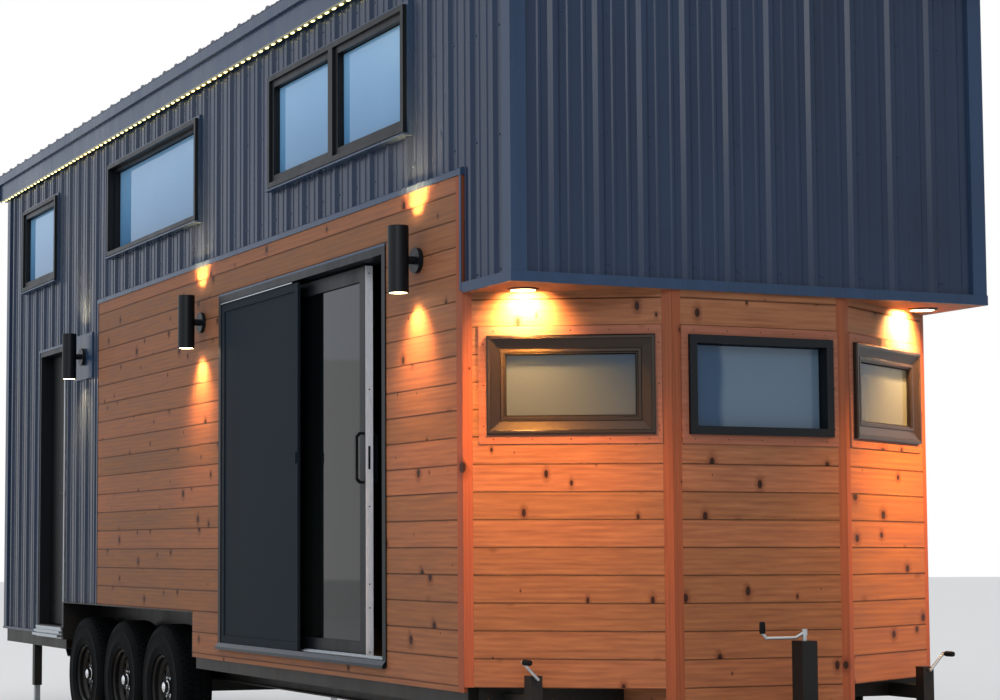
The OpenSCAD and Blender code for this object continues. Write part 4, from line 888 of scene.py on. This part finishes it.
@dataclass
class Camera:
    """The photograph's camera, solved from the house's own edges."""

    place: Point = (12.700, -5.718, 1.267)
    yaw_deg: float = 157.82
    pitch_deg: float = 4.33
    lens_mm: float = 79.3
    sensor_mm: float = 36.0
    shift_x: float = 0.194
    shift_y: float = 0.0355
    reach: float = 500.0

    def build(self) -> None:
        """Make the camera and set it as the scene's own."""
        data = bpy.data.cameras.new("view")
        data.lens = self.lens_mm
        data.sensor_width = self.sensor_mm
        data.shift_x = self.shift_x
        data.shift_y = self.shift_y
        data.clip_end = self.reach
        camera = bpy.data.objects.new("view", data)
        camera.location = self.place
        camera.rotation_euler = (
            math.radians(90 + self.pitch_deg), 0.0, math.radians(self.yaw_deg - 90),
        )
        bpy.context.scene.collection.objects.link(camera)
        bpy.context.scene.camera = camera
        LOG.info("camera at %s", self.place)


def hang_lamp(data: bpy.types.Light, place: Point, facing: Vector, tint: str = WHITE) -> None:
    """Hang a lamp that shines one way.

    Args:
        data: The lamp's data.
        place: Where it hangs, in metres.
        facing: The direction it shines in.
        tint: Its colour.
    """
    data.color = linear(tint)[:3]
    lamp = bpy.data.objects.new(data.name, data)
    lamp.location = place
    lamp.rotation_euler = (-facing).to_track_quat("Z", "Y").to_euler()
    bpy.context.scene.collection.objects.link(lamp)


@dataclass(frozen=True)
class Softbox:
    """One large soft lamp: its place and aim in metres, its width and its watts."""

    name: str
    place: Point
    aim: Point
    size: float
    power: float
    tint: str = WHITE

    def hang(self) -> None:
        """Hang the lamp."""
        data = bpy.data.lights.new(self.name, "AREA")
        data.size = self.size
        data.energy = self.power
        hang_lamp(data, self.place, Vector(self.aim) - Vector(self.place), self.tint)


@dataclass
class Studio:
    """Plain pale floor and soft light."""

    floor_size: float = 160.0
    floor_drop: float = 0.0005
    floor_hex: str = "E9E7E3"
    sky_hex: str = "DDE6F2"
    sky_strength: float = 0.5
    overhead_power: float = 1.3
    overhead_deg: float = 70.0
    boxes: tuple[Softbox, ...] = (
        Softbox("nose_softbox", (14.0, -8.0, 8.0), (3.5, 0.0, 2.5), 5.0, 660.0),
        Softbox("door_softbox", (-2.0, -15.0, 9.0), (-1.0, 0.0, 2.0), 9.0, 235.0),
        Softbox("rear_softbox", (-24.0, -10.0, 11.0), (-3.0, -1.3, 3.0), 13.0, 200.0, "A8C4F0"),
    )

    def build(self) -> None:
        """Make the floor, the world and the lamps."""
        self.build_floor()
        self.build_world()
        for box in self.boxes:
            box.hang()
        data = bpy.data.lights.new("overhead_softness", "SUN")
        data.energy = self.overhead_power
        data.angle = math.radians(self.overhead_deg)
        hang_lamp(data, (0.0, 0.0, 0.0), Vector((0.0, 0.0, -1.0)))

    def build_floor(self) -> None:
        """Make the floor, a plain pale sheet that the house stands on."""
        sheet = bmesh.new()
        bmesh.ops.create_grid(sheet, x_segments=1, y_segments=1, size=self.floor_size / 2)
        bmesh.ops.translate(sheet, vec=(0.0, 0.0, -self.floor_drop), verts=sheet.verts)
        mesh = bpy.data.meshes.new("floor")
        sheet.to_mesh(mesh)
        sheet.free()
        floor = bpy.data.objects.new("floor", mesh)
        bpy.context.scene.collection.objects.link(floor)
        paper = Graph("floor_paper")
        paper.feed(Base_Color=linear(self.floor_hex), Roughness=0.9)
        mesh.materials.append(paper.material)

    def build_world(self) -> None:
        """Light the scene softly from a pale evening sky, which shows white."""
        world = bpy.data.worlds.new("sky")
        bpy.context.scene.world = world
        world.use_nodes = True
        tree = world.node_tree
        tree.nodes.clear()
        path = add_node(tree, "LightPath").outputs
        seen = path["Is Camera Ray"]
        for ray in ("Is Transmission Ray", "Is Glossy Ray"):
            seen = add_node(tree, "Math", {"operation": "MAXIMUM"}, i0=seen, i1=path[ray])
            seen = seen.outputs[0]
        light = add_node(
            tree, "Background", Color=linear(self.sky_hex), Strength=self.sky_strength
        ).outputs[0]
        shown = add_node(tree, "Background", Color=linear(WHITE), Strength=1.0).outputs[0]
        mixed = add_node(tree, "MixShader", i0=seen, i1=light, i2=shown).outputs[0]
        add_node(tree, "OutputWorld", Surface=mixed)


def hang_spot(
    name: str, place: Vector, aim: Point, power: float, spread_deg: float, tint: str = "FFBE74"
) -> None:
    """Hang one warm lamp that lights the wall beside it.

    Args:
        name: The lamp's name.
        place: Where it hangs, in metres.
        aim: The direction it shines in.
        power: Its power in watts.
        spread_deg: Full angle of its cone.
        tint: Its colour.
    """
    data = bpy.data.lights.new(name, "SPOT")
    data.energy = power
    data.spot_size = math.radians(spread_deg)
    data.spot_blend = 1.0
    data.shadow_soft_size = 0.02
    hang_lamp(data, place, Vector(aim), tint)


@dataclass
class WallLamps:
    """Tubular lamps that wash the wall above and below, each with two recessed lenses."""

    finishes: Palette
    places: tuple[float, ...] = (475.0, 3580.0, 6145.0)
    low_z: float = 2505.0
    high_z: float = 2830.0
    out: float = 105.0
    lens_r: float = 47.6
    inset: float = 0.5
    screw_shift: float = 42.0
    plate_y: float = -23.0
    bulb_inset: float = 4.0
    core_power: float = 80.0
    core_deg: float = 96.0
    wash_power: float = 12.0
    wash_deg: float = 140.0
    wash_hex: str = "FFA238"

    def build(self) -> None:
        """Make the lenses, the wall plates' screws and the light."""
        self.build_lenses()
        self.build_screws()
        for index, x in enumerate(self.places):
            for tag, z, way in (
                ("low", self.low_z - self.bulb_inset, -1.0),
                ("high", self.high_z + self.bulb_inset, 1.0),
            ):
                place = PLAN.door_side() @ Vector((-x, -self.out, z))
                name = f"wall_lamp_{tag}_{index}"
                hang_spot(f"{name}_core", place, (0, 0.4, way), self.core_power, self.core_deg)
                hang_spot(
                    f"{name}_wash", place, (0, 0.1, way), self.wash_power, self.wash_deg,
                    self.wash_hex,
                )

    def build_lenses(self) -> None:
        """Make the lens at each end of each lamp."""
        edge = self.lens_r - 1
        ends = ((self.low_z + self.inset, 1.0), (self.high_z - self.inset, -1.0))
        places = (
            Matrix.Translation((-x, -self.out, z)) @ Matrix.Diagonal((1.0, 1.0, way, 1.0))
            for x in self.places for z, way in ends
        )
        lens, lenses = Shaper(), Shaper()
        lens.turned([(0.0, 0.0), (edge - 5, 1.5), (edge, 5.0), (edge, 8.0), (0.0, 8.0)], 48)
        lenses.stamp(lens, places)
        lenses.move(PLAN.door_side())
        lenses.piece("wall_lamp_lenses", self.finishes.warm_lens, "light_lens")

    def build_screws(self) -> None:
        """Make the two screws of each wall plate."""
        screws = Shaper()
        for x in self.places:
            for side in SIDES.values():
                across, up = side * self.screw_shift - x, (self.low_z + self.high_z) / 2
                screws.rod((across, self.plate_y, up), (across, self.plate_y - 2.5, up), 5.0, 12)
        screws.move(PLAN.door_side())
        screws.piece("wall_lamp_screws", self.finishes.frame_black, "lamp_black")


@dataclass
class SoffitLights:
    """Round lights recessed in the boards under the overhang."""

    finishes: Palette
    x: float = 240.0
    y: float = 1105.0
    z: float = 2454.0
    radius: float = 60.0
    drop: float = 8.0
    core_power: float = 135.0
    core_deg: float = 130.0
    wash_power: float = 165.0
    wash_deg: float = 92.0
    wash_hex: str = "FFA637"
    shares: tuple[float, ...] = (1.0, 2.0)

    def build(self) -> None:
        """Make the trim rings and the light that they hold."""
        for (tag, side), share in zip(SIDES.items(), self.shares):
            place = PLAN.house() @ Vector((self.x, side * self.y, self.z - self.drop))
            hang_spot(
                f"soffit_light_{tag}_core", place, (-0.87, side * -0.5, -0.8),
                self.core_power * share, self.core_deg,
            )
            hang_spot(
                f"soffit_light_{tag}_wash", place + Vector((0.62, side * 0.36, -0.1)),
                (-0.87, side * -0.5, -1.1), self.wash_power * share, self.wash_deg,
                self.wash_hex,
            )
        out, well = self.radius + 14, self.radius + 0.5
        trim, trims = Shaper(), Shaper()
        trim.turned(
            [(self.radius - 4, -1.0), (self.radius + 2, -3.0), (out, 2.0), (out, 5.5),
             (well, 5.5), (well, 0.5)], 48, closed=True,
        )
        places = (Vector((self.x, side * self.y, self.z)) for side in SIDES.values())
        trims.stamp(trim, (Matrix.Translation(place) for place in places))
        trims.move(PLAN.house())
        trims.piece("soffit_light_trims", self.finishes.frame_black, "lamp_black")


@dataclass
class RopeLight:
    """Rope light under the high fascia, a lens over each of its lamps."""

    finishes: Palette
    start_x: float = -8470.0
    end_x: float = 510.0
    y: float = -1315.0
    z: float = 4128.0
    step: float = 98.0
    lens: Point = (50.0, 17.0, 12.0)

    def build(self) -> None:
        """Make the row of lenses."""
        bead, row = Shaper(), Shaper()
        bmesh.ops.create_uvsphere(bead.mesh, u_segments=10, v_segments=6, radius=0.5)
        bead.move(Matrix.Diagonal((*self.lens, 1.0)))
        count = int((self.end_x - self.start_x) / self.step)
        places = (
            Matrix.Translation((self.start_x + (index + 0.5) * self.step, self.y, self.z))
            for index in range(count)
        )
        row.stamp(bead, places)
        row.move(PLAN.house())
        row.piece("rope_light_lenses", self.finishes.rope_lens, "light_lens")


@dataclass
class SidingScrews:
    """Hex screws with washers that hold the ribbed sheets, beside each high rib."""

    finishes: Palette
    pitch: float = 229.0
    offset: float = 47.0
    skin: float = 20.0
    first_rib: float = 190.0
    corner: float = 90.0
    ribs: int = 39
    end_ribs: int = 12
    nose_shift: float = -32.0
    fascia: float = 240.0
    fall: float = 150.0
    rear_top: float = 4050.0
    frame_gap: float = 40.0
    board_gap: float = 30.0
    flash_gap: float = 60.0
    cap_gap: float = 20.0
    entry_boards: float = 420.0
    side_rows: tuple[float, ...] = (760.0, 1330.0, 1930.0, 2530.0, 3140.0, 3640.0, 4060.0)
    nose_rows: tuple[float, ...] = (2560.0, 3160.0, 3700.0, 4040.0)

    def build(self) -> None:
        """Make the screws of all four sides."""
        half = self.pitch / 2
        walls = (
            (PLAN.door_side(), self.side_spots(False)),
            (PLAN.far(PLAN.door_side()), self.side_spots(True)),
            (PLAN.nose(), self.end_spots(self.nose_rows, self.nose_shift + half)),
            (PLAN.rear(), self.end_spots(self.side_rows, half)),
        )
        places = (
            face @ Matrix.Translation((x, self.skin, z)) for face, spots in walls for x, z in spots
        )
        row = Shaper()
        row.stamp(self.screw(), places)
        row.piece("siding_screws", self.finishes.flashing, "ribbed_metal")

    def screw(self) -> Shaper:
        """Return the shape of one screw, its axis out along -Y."""
        screw = Shaper()
        for facets, low_r, high_r, height, middle in (
            (14, 7.5, 6.5, 1.6, 0.0), (6, 4.8, 4.4, 4.4, 2.8),
        ):
            bmesh.ops.create_cone(
                screw.mesh, cap_ends=True, segments=facets, radius1=low_r, radius2=high_r,
                depth=height, matrix=Matrix.Translation((0.0, 0.0, middle)),
            )
        screw.move(Matrix.Rotation(math.pi / 2, 4, "X"))
        return screw

    def bare(self, far: bool) -> list[tuple[float, float, float, float]]:
        """List the parts of a long wall that have no ribbed sheet.

        Args:
            far: Whether it is the far side, which has no entry door.

        Returns:
            Each part's rear and front end, and its low and high side.
        """
        sill = PLAN.upper_sill_z - self.flash_gap
        head = PLAN.upper_sill_z + PLAN.upper_win_h + self.frame_gap
        bare = [
            (-start - width - self.frame_gap, self.frame_gap - start, sill, head)
            for start, width, _ in PLAN.upper_windows
        ]
        gap = self.board_gap
        bare += [
            (-PLAN.cedar_len - gap, 0.0, 0.0, PLAN.cedar_top_z + self.cap_gap),
            (-gap, PLAN.nose_out, 0.0, PLAN.soffit_z + self.flash_gap),
            (-PLAN.well_end - gap, gap - PLAN.well_x, 0.0, PLAN.well_top_z + self.frame_gap),
        ]
        if not far:
            rear, front = PLAN.entry_x + PLAN.entry_w + self.frame_gap, self.entry_boards
            bare.append((-rear, front - PLAN.entry_x, 0.0, PLAN.door_head_z + self.flash_gap))
        return bare

    def side_spots(self, far: bool) -> list[tuple[float, float]]:
        """List the screws of one long wall.

        Args:
            far: Whether it is the far side, which is lower.

        Returns:
            Each screw's place along the wall and its height.
        """
        top = PLAN.roof_high_z - self.fascia - (self.fall if far else 0)
        rear, front = PLAN.rear_face + self.corner, PLAN.nose_out - self.corner
        first = PLAN.nose_out - self.first_rib + self.offset
        ribs = (first - index * self.pitch for index in range(-1, self.ribs - 1))
        bare = self.bare(far)
        return [
            (x, z) for x in ribs if rear < x < front for z in self.side_rows
            if z < top and not any(a < x < b and low < z < high for a, b, low, high in bare)
        ]

    def end_spots(self, rows: Sequence[float], middle: float) -> list[tuple[float, float]]:
        """List the screws of one end wall.

        Args:
            rows: The heights of the rows.
            middle: Place of the middle rib along the wall.

        Returns:
            Each screw's place along the wall and its height.
        """
        half = self.end_ribs // 2
        ribs = (middle + index * self.pitch + self.offset for index in range(-half, half))
        clear = PLAN.half_w - self.corner
        return [(x, z) for x in ribs if abs(x) < clear for z in rows if z < self.rear_top]


@dataclass
class Wheel:
    """One wheel's tyre with its tread, and the bright parts of its hub."""

    finishes: Palette
    name: str
    x: float
    side: int
    radius: float = 403.0
    width: float = 235.0
    rim_r: float = 205.0
    tread_d: float = 9.0
    shoulder_drop: float = 4.0
    blocks: int = 60
    nut_circle_r: float = 66.0
    nuts: int = 6

    def build(self) -> None:
        """Make the tyre and the hub's fittings."""
        self.build_tyre()
        self.build_fittings()

    def build_tyre(self) -> None:
        """Turn the carcass and set the tread's blocks round it."""
        half = self.width / 2
        side = [
            (self.rim_r + step, half - back)
            for step, back in ((0, 22), (6, 10), (16, 6), (22, 10), (50, 2), (54, 0), (58, 2))
        ]
        side += [
            (self.radius - step, half - back)
            for step, back in (
                (86, 0), (60, 1), (57, -0.5), (54, 2), (34, 7), (18, 16), (self.tread_d, 30),
            )
        ]
        outline = [(r, -h) for r, h in side] + [(r, h) for r, h in reversed(side)]
        tyre = Shaper()
        tyre.turned(outline, 96, closed=True)
        for middle, wide, turn, tilt in (
            (-79.0, 30.0, 0.0, -16.0), (-50.0, 30.0, 0.5, 0.0), (0.0, 52.0, 0.25, 0.0),
            (50.0, 30.0, 0.5, 0.0), (79.0, 30.0, 0.0, 16.0),
        ):
            self.add_blocks(tyre, middle, wide, turn, tilt)
        tyre.move(PLAN.wheel(self.x, self.side))
        tyre.piece(
            f"tyre_{self.name}_treaded", self.finishes.rubber, "tyre", f"wheel_{self.name}",
            (f"tyre_{self.name}",),
        )

    def add_blocks(
        self, tyre: Shaper, middle: float, wide: float, turn: float, tilt: float
    ) -> None:
        """Set one row of the tread's blocks.

        Args:
            tyre: Where they go.
            middle: The row's place across the tread.
            wide: Width of a block.
            turn: The row's shift, as a share of the step.
            tilt: The block's lean over the shoulder, in degrees.
        """
        step = math.tau / self.blocks
        long = self.radius * step * 0.43
        top = self.radius - (self.shoulder_drop if tilt else 0.0)
        block = Shaper()
        block.slab((top - self.tread_d - 3, -long, -wide / 2), (top, long, wide / 2), 1.6)
        out = Matrix.Translation((self.radius, 0.0, middle))
        lean = Matrix.Rotation(math.radians(-tilt), 4, "Y")
        back = Matrix.Translation((-self.radius, 0.0, 0.0))
        turns = (Matrix.Rotation((index + turn) * step, 4, "Z") for index in range(self.blocks))
        tyre.stamp(block, (spin @ out @ lean @ back for spin in turns))

    def build_fittings(self) -> None:
        """Make the nuts, the bright centre cap and the valve."""
        fittings = Shaper()
        for index in range(self.nuts):
            turn = index * math.tau / self.nuts
            spot = (self.nut_circle_r * math.cos(turn), self.nut_circle_r * math.sin(turn))
            for radius, low, high, facets in (
                (15.0, 30.0, 33.0, 20), (11.0, 33.0, 50.0, 6), (7.5, 50.0, 56.0, 16),
            ):
                fittings.rod((*spot, low), (*spot, high), radius, facets)
        fittings.turned(
            [(0.0, 97.0), (16.0, 95.5), (27.0, 92.0), (33.5, 86.0), (35.5, 78.0), (35.5, 66.0),
             (43.5, 64.5), (43.5, 58.0), (36.0, 58.0)], 48,
        )
        fittings.rod((150.0, 0.0, 40.0), (156.0, 0.0, 74.0), 4.0, 14)
        fittings.move(PLAN.wheel(self.x, self.side))
        fittings.piece(
            f"hub_fittings_{self.name}", self.finishes.chrome, "zinc_steel", f"wheel_{self.name}"
        )


@dataclass(frozen=True)
class Pane:
    """One sealed double pane: its frame, its corners and its depth in the wall."""

    face: Matrix
    x: float
    z: float
    width: float
    height: float
    depth: float


@dataclass
class Glazing:
    """Sealed double panes: two sheets of glass, a spacer between them and a gasket round them."""

    finishes: Palette
    sheet: float = 4.0
    gap: float = 4.0
    spacer_w: float = 9.0
    seat: float = 0.3
    frame_w: float = 28.0
    mullion_w: float = 57.0
    patio_pane: tuple[float, ...] = (-3154.7, 810.3, 1057.5, 1864.4, 119.0)

    def upper(self) -> list[Pane]:
        """List the upper windows' panes, both sides."""
        panes = []
        faces = (PLAN.door_side(), PLAN.far(PLAN.door_side()))
        for start, width, sashes in PLAN.upper_windows:
            many = max(sashes, 1)
            clear = width - 2 * (self.seat + self.frame_w) - (many - 1) * self.mullion_w
            sash = clear / many
            rim, depth = (38.0, 25.0) if sashes else (19.0, 60.0)
            inset = self.seat + self.frame_w + rim
            high = PLAN.upper_win_h - 2 * inset
            for index in range(many):
                left = inset - start - width + index * (sash + self.mullion_w)
                panes += [
                    Pane(face, left, PLAN.upper_sill_z + inset, sash - 2 * rim, high, depth)
                    for face in faces
                ]
        return panes

    def bay(self, face: Matrix, middle: float, width: float, rim: float, depth: float) -> Pane:
        """Give a bay window's pane.

        Args:
            face: The frame of its face.
            middle: Place of the window's middle along the face.
            width: Width of the window's hole.
            rim: Width of its frame.
            depth: Depth of the pane's outer side.

        Returns:
            The pane.
        """
        inset = self.seat + rim
        return Pane(
            face, middle - width / 2 + inset, PLAN.bay_sill_z + inset, width - 2 * inset,
            PLAN.bay_win_h - 2 * inset, depth,
        )

    def build(self) -> None:
        """Make every pane in its own glass, and the spacers and gaskets of all."""
        middle = self.bay(PLAN.mid_face(), 0.0, PLAN.mid_win_w, 37.5, 37.0)
        flanks = [
            self.bay(face, PLAN.flank_window(), PLAN.flank_win_w, 85.0, 12.0)
            for face in (PLAN.flank(), PLAN.far(PLAN.flank()))
        ]
        patio = Pane(PLAN.door_side(), *self.patio_pane)
        spacers, gaskets = Shaper(), Shaper()
        for name, finish, panes, replaced in (
            ("upper_window_glass", self.finishes.sky_reflection_glass, self.upper(), ("window_glass",)),
            ("bay_middle_glass", self.finishes.dusk_reflection_glass, [middle], ()),
            ("bay_flank_glass", self.finishes.flank_reflection_glass, flanks, ()),
            ("patio_fixed_glass", self.finishes.shade_glass, [patio], ()),
        ):
            glass = Shaper()
            for pane in panes:
                self.add_pane(glass, spacers, gaskets, pane)
            glass.piece(name, finish, "glass", replaces=replaced)
        spacers.piece("glass_spacers", self.finishes.aluminium, "aluminium_trim")
        gaskets.piece("glass_gaskets", self.finishes.gasket, "black_frame")

    def add_pane(self, glass: Shaper, spacers: Shaper, gaskets: Shaper, pane: Pane) -> None:
        """Add one pane's sheets, spacer and gasket.

        Args:
            glass: Where its sheets go.
            spacers: Where its spacer goes.
            gaskets: Where its gasket goes.
            pane: The pane.
        """
        x, z, near = pane.x, pane.z, pane.depth
        x1, z1 = x + pane.width, z + pane.height
        back = near + self.sheet + self.gap
        sheets, bar, lip = Shaper(), Shaper(), Shaper()
        for front in (near, back):
            sheets.slab((x, front, z), (x1, front + self.sheet, z1), 0.6)
        bar.ring(
            (x + 4, near + self.sheet + 0.2, z + 4), (x1 - 4, back - 0.2, z1 - 4), self.spacer_w
        )
        lip.ring((x - 0.2, near - 3.0, z - 0.2), (x1 + 0.2, near - 0.2, z1 + 0.2), 5.0, 1.2)
        for shaper, made in ((glass, sheets), (spacers, bar), (gaskets, lip)):
            shaper.stamp(made, [pane.face])


@dataclass
class Hardware:
    """Small fittings: casing nails, crank grips, coupler bolts, the patio door's lock and track."""

    finishes: Palette
    nail_y: float = -8.0
    nail_shares: tuple[float, ...] = (-0.46, -0.23, 0.0, 0.23, 0.46)
    nail_out: float = 21.0
    side_nail_out: float = 15.0
    side_nail_ups: tuple[float, ...] = (40.0, 228.0, 416.0)
    tongue_grip: Point = (790.0, -220.0, 909.0)
    front_crank: Point = (245.0, 1070.0, 700.0)
    front_grip: Point = (60.0, 0.0, 110.0)
    crank_turn_deg: float = 45.0
    bolt_spots: Outline = ((700.0, 130.0), (760.0, 110.0), (850.0, 90.0), (940.0, 62.0))
    lock_screws: tuple[float, ...] = (985.0, 1105.0, 760.0, 1500.0, 2100.0, 2700.0)
    track_start: float = -2010.0
    bead_len: float = 1140.0

    def build(self) -> None:
        """Make every fitting."""
        self.build_nails()
        self.build_grips()
        self.build_bolts()
        self.build_lock()
        self.build_track()

    def build_nails(self) -> None:
        """Set the nails that hold the casings."""
        nail = Shaper()
        nail.turned([(0.0, 1.1), (2.0, 0.9), (3.0, 0.0), (3.0, -0.6), (0.0, -0.6)], 12)
        nail.move(Matrix.Rotation(math.pi / 2, 4, "X"))
        places = []
        low, high = PLAN.bay_sill_z, PLAN.bay_sill_z + PLAN.bay_win_h
        for face, middle, width in (
            (PLAN.mid_face(), 0.0, PLAN.mid_win_w),
            (PLAN.flank(), PLAN.flank_window(), PLAN.flank_win_w),
            (PLAN.far(PLAN.flank()), PLAN.flank_window(), PLAN.flank_win_w),
        ):
            spots = [
                (middle + share * width, z)
                for share in self.nail_shares for z in (low - self.nail_out, high + self.nail_out)
            ]
            spots += [
                (middle + side * (width / 2 + self.side_nail_out), low + up)
                for side in SIDES.values() for up in self.side_nail_ups
            ]
            places += [face @ Matrix.Translation((x, self.nail_y, z)) for x, z in spots]
        nails = Shaper()
        nails.stamp(nail, places)
        nails.piece("casing_nails", self.finishes.bronze, "zinc_steel")

    def build_grips(self) -> None:
        """Pull the black grips over the cranks' ends."""
        house = PLAN.house()
        self.add_grip(
            "tongue_crank_grip", "tongue_jack_crank", house @ Matrix.Translation(self.tongue_grip),
            [(0.0, -1.0), (10.0, -1.0), (12.6, 3.0), (13.4, 14.0), (13.4, 38.0), (12.4, 48.0),
             (9.0, 52.0), (0.0, 52.5)],
        )
        x, y, z = self.front_crank
        for tag, side in SIDES.items():
            tilt = Matrix.Rotation(math.radians(-side * self.crank_turn_deg), 4, "X")
            place = house @ (Matrix.Translation((x, side * y, z)) @ tilt)
            place = place @ Matrix.Translation(self.front_grip)
            self.add_grip(
                f"front_crank_grip_{tag}", f"front_jack_{tag}_crank",
                place @ Matrix.Rotation(math.pi / 2, 4, "Y"),
                [(0.0, -1.0), (9.5, -1.0), (12.6, 3.0), (13.2, 15.0), (13.2, 44.0), (12.2, 57.0),
                 (8.0, 61.5), (0.0, 62.0)],
            )

    def add_grip(self, name: str, crank: str, place: Matrix, outline: Outline) -> None:
        """Make one grip.

        Args:
            name: The piece's name.
            crank: The body that it rides on.
            place: Its frame, +Z along the crank's end.
            outline: Radius and height of each point.
        """
        grip = Shaper()
        grip.turned(outline, 28)
        grip.move(place)
        grip.piece(name, self.finishes.grip, "lamp_black", crank)

    def build_bolts(self) -> None:
        """Put the bolts with their washers through the tongue's plate."""
        bolts = Shaper()
        for x, y in self.bolt_spots:
            for side in SIDES.values():
                bolts.rod((x, side * y, 570.0), (x, side * y, 572.5), 13.0, 20)
                bolts.rod((x, side * y, 572.5), (x, side * y, 581.0), 9.5, 6)
        bolts.move(PLAN.house())
        bolts.piece("coupler_bolts", self.finishes.zinc, "zinc_steel")

    def build_lock(self) -> None:
        """Make the patio door's lock keeper and the screws of its edge strip."""
        lock = Shaper()
        front = -PLAN.patio_x - PLAN.patio_frame_w - PLAN.patio_ajar
        lock.slab((front - 2.0, 76.0, 1000.0), (front + 2.2, 82.0, 1090.0), 0.8)
        for z in self.lock_screws:
            lock.rod((front + 2.6, 79.0, z), (front + 4.2, 79.0, z), 4.0, 14)
        lock.move(PLAN.door_side())
        lock.piece("patio_lock", self.finishes.frame_black, "black_frame", "patio_slider")

    def build_track(self) -> None:
        """Make the patio door's bright track along its sill, and the bead under its head."""
        track = Shaper()
        low, high = PLAN.floor_z + 30.3, PLAN.floor_z + 40.0
        end = -PLAN.patio_x - 43.0
        back = -PLAN.patio_x - PLAN.patio_w + 44.0
        for first, last in (
            ((self.track_start, 17.0, low), (end, 51.0, high)),
            ((self.track_start, 30.0, high), (end, 36.0, high + 5.0)),
            ((back, -11.0, 2740.0), (back + self.bead_len, -7.6, 2746.0)),
        ):
            track.slab(first, last, 0.8)
        track.move(PLAN.door_side())
        track.piece("patio_sill_track", self.finishes.aluminium, "aluminium_trim")


def main() -> None:
    """Build everything in order."""
    logging.basicConfig(level=logging.INFO, format="%(name)s: %(message)s")
    bpy.context.scene.view_settings.view_transform = "Standard"
    Camera().build()
    Studio().build()
    finishes = Palette()
    Construction(finishes).build()
    WallLamps(finishes).build()
    SoffitLights(finishes).build()
    RopeLight(finishes).build()
    SidingScrews(finishes).build()
    for tag, side in SIDES.items():
        for spot, x in AXLES.items():
            Wheel(finishes, f"{tag}_{spot}", x, side).build()
    Glazing(finishes).build()
    Hardware(finishes).build()


if __name__ == "__main__":
    main()
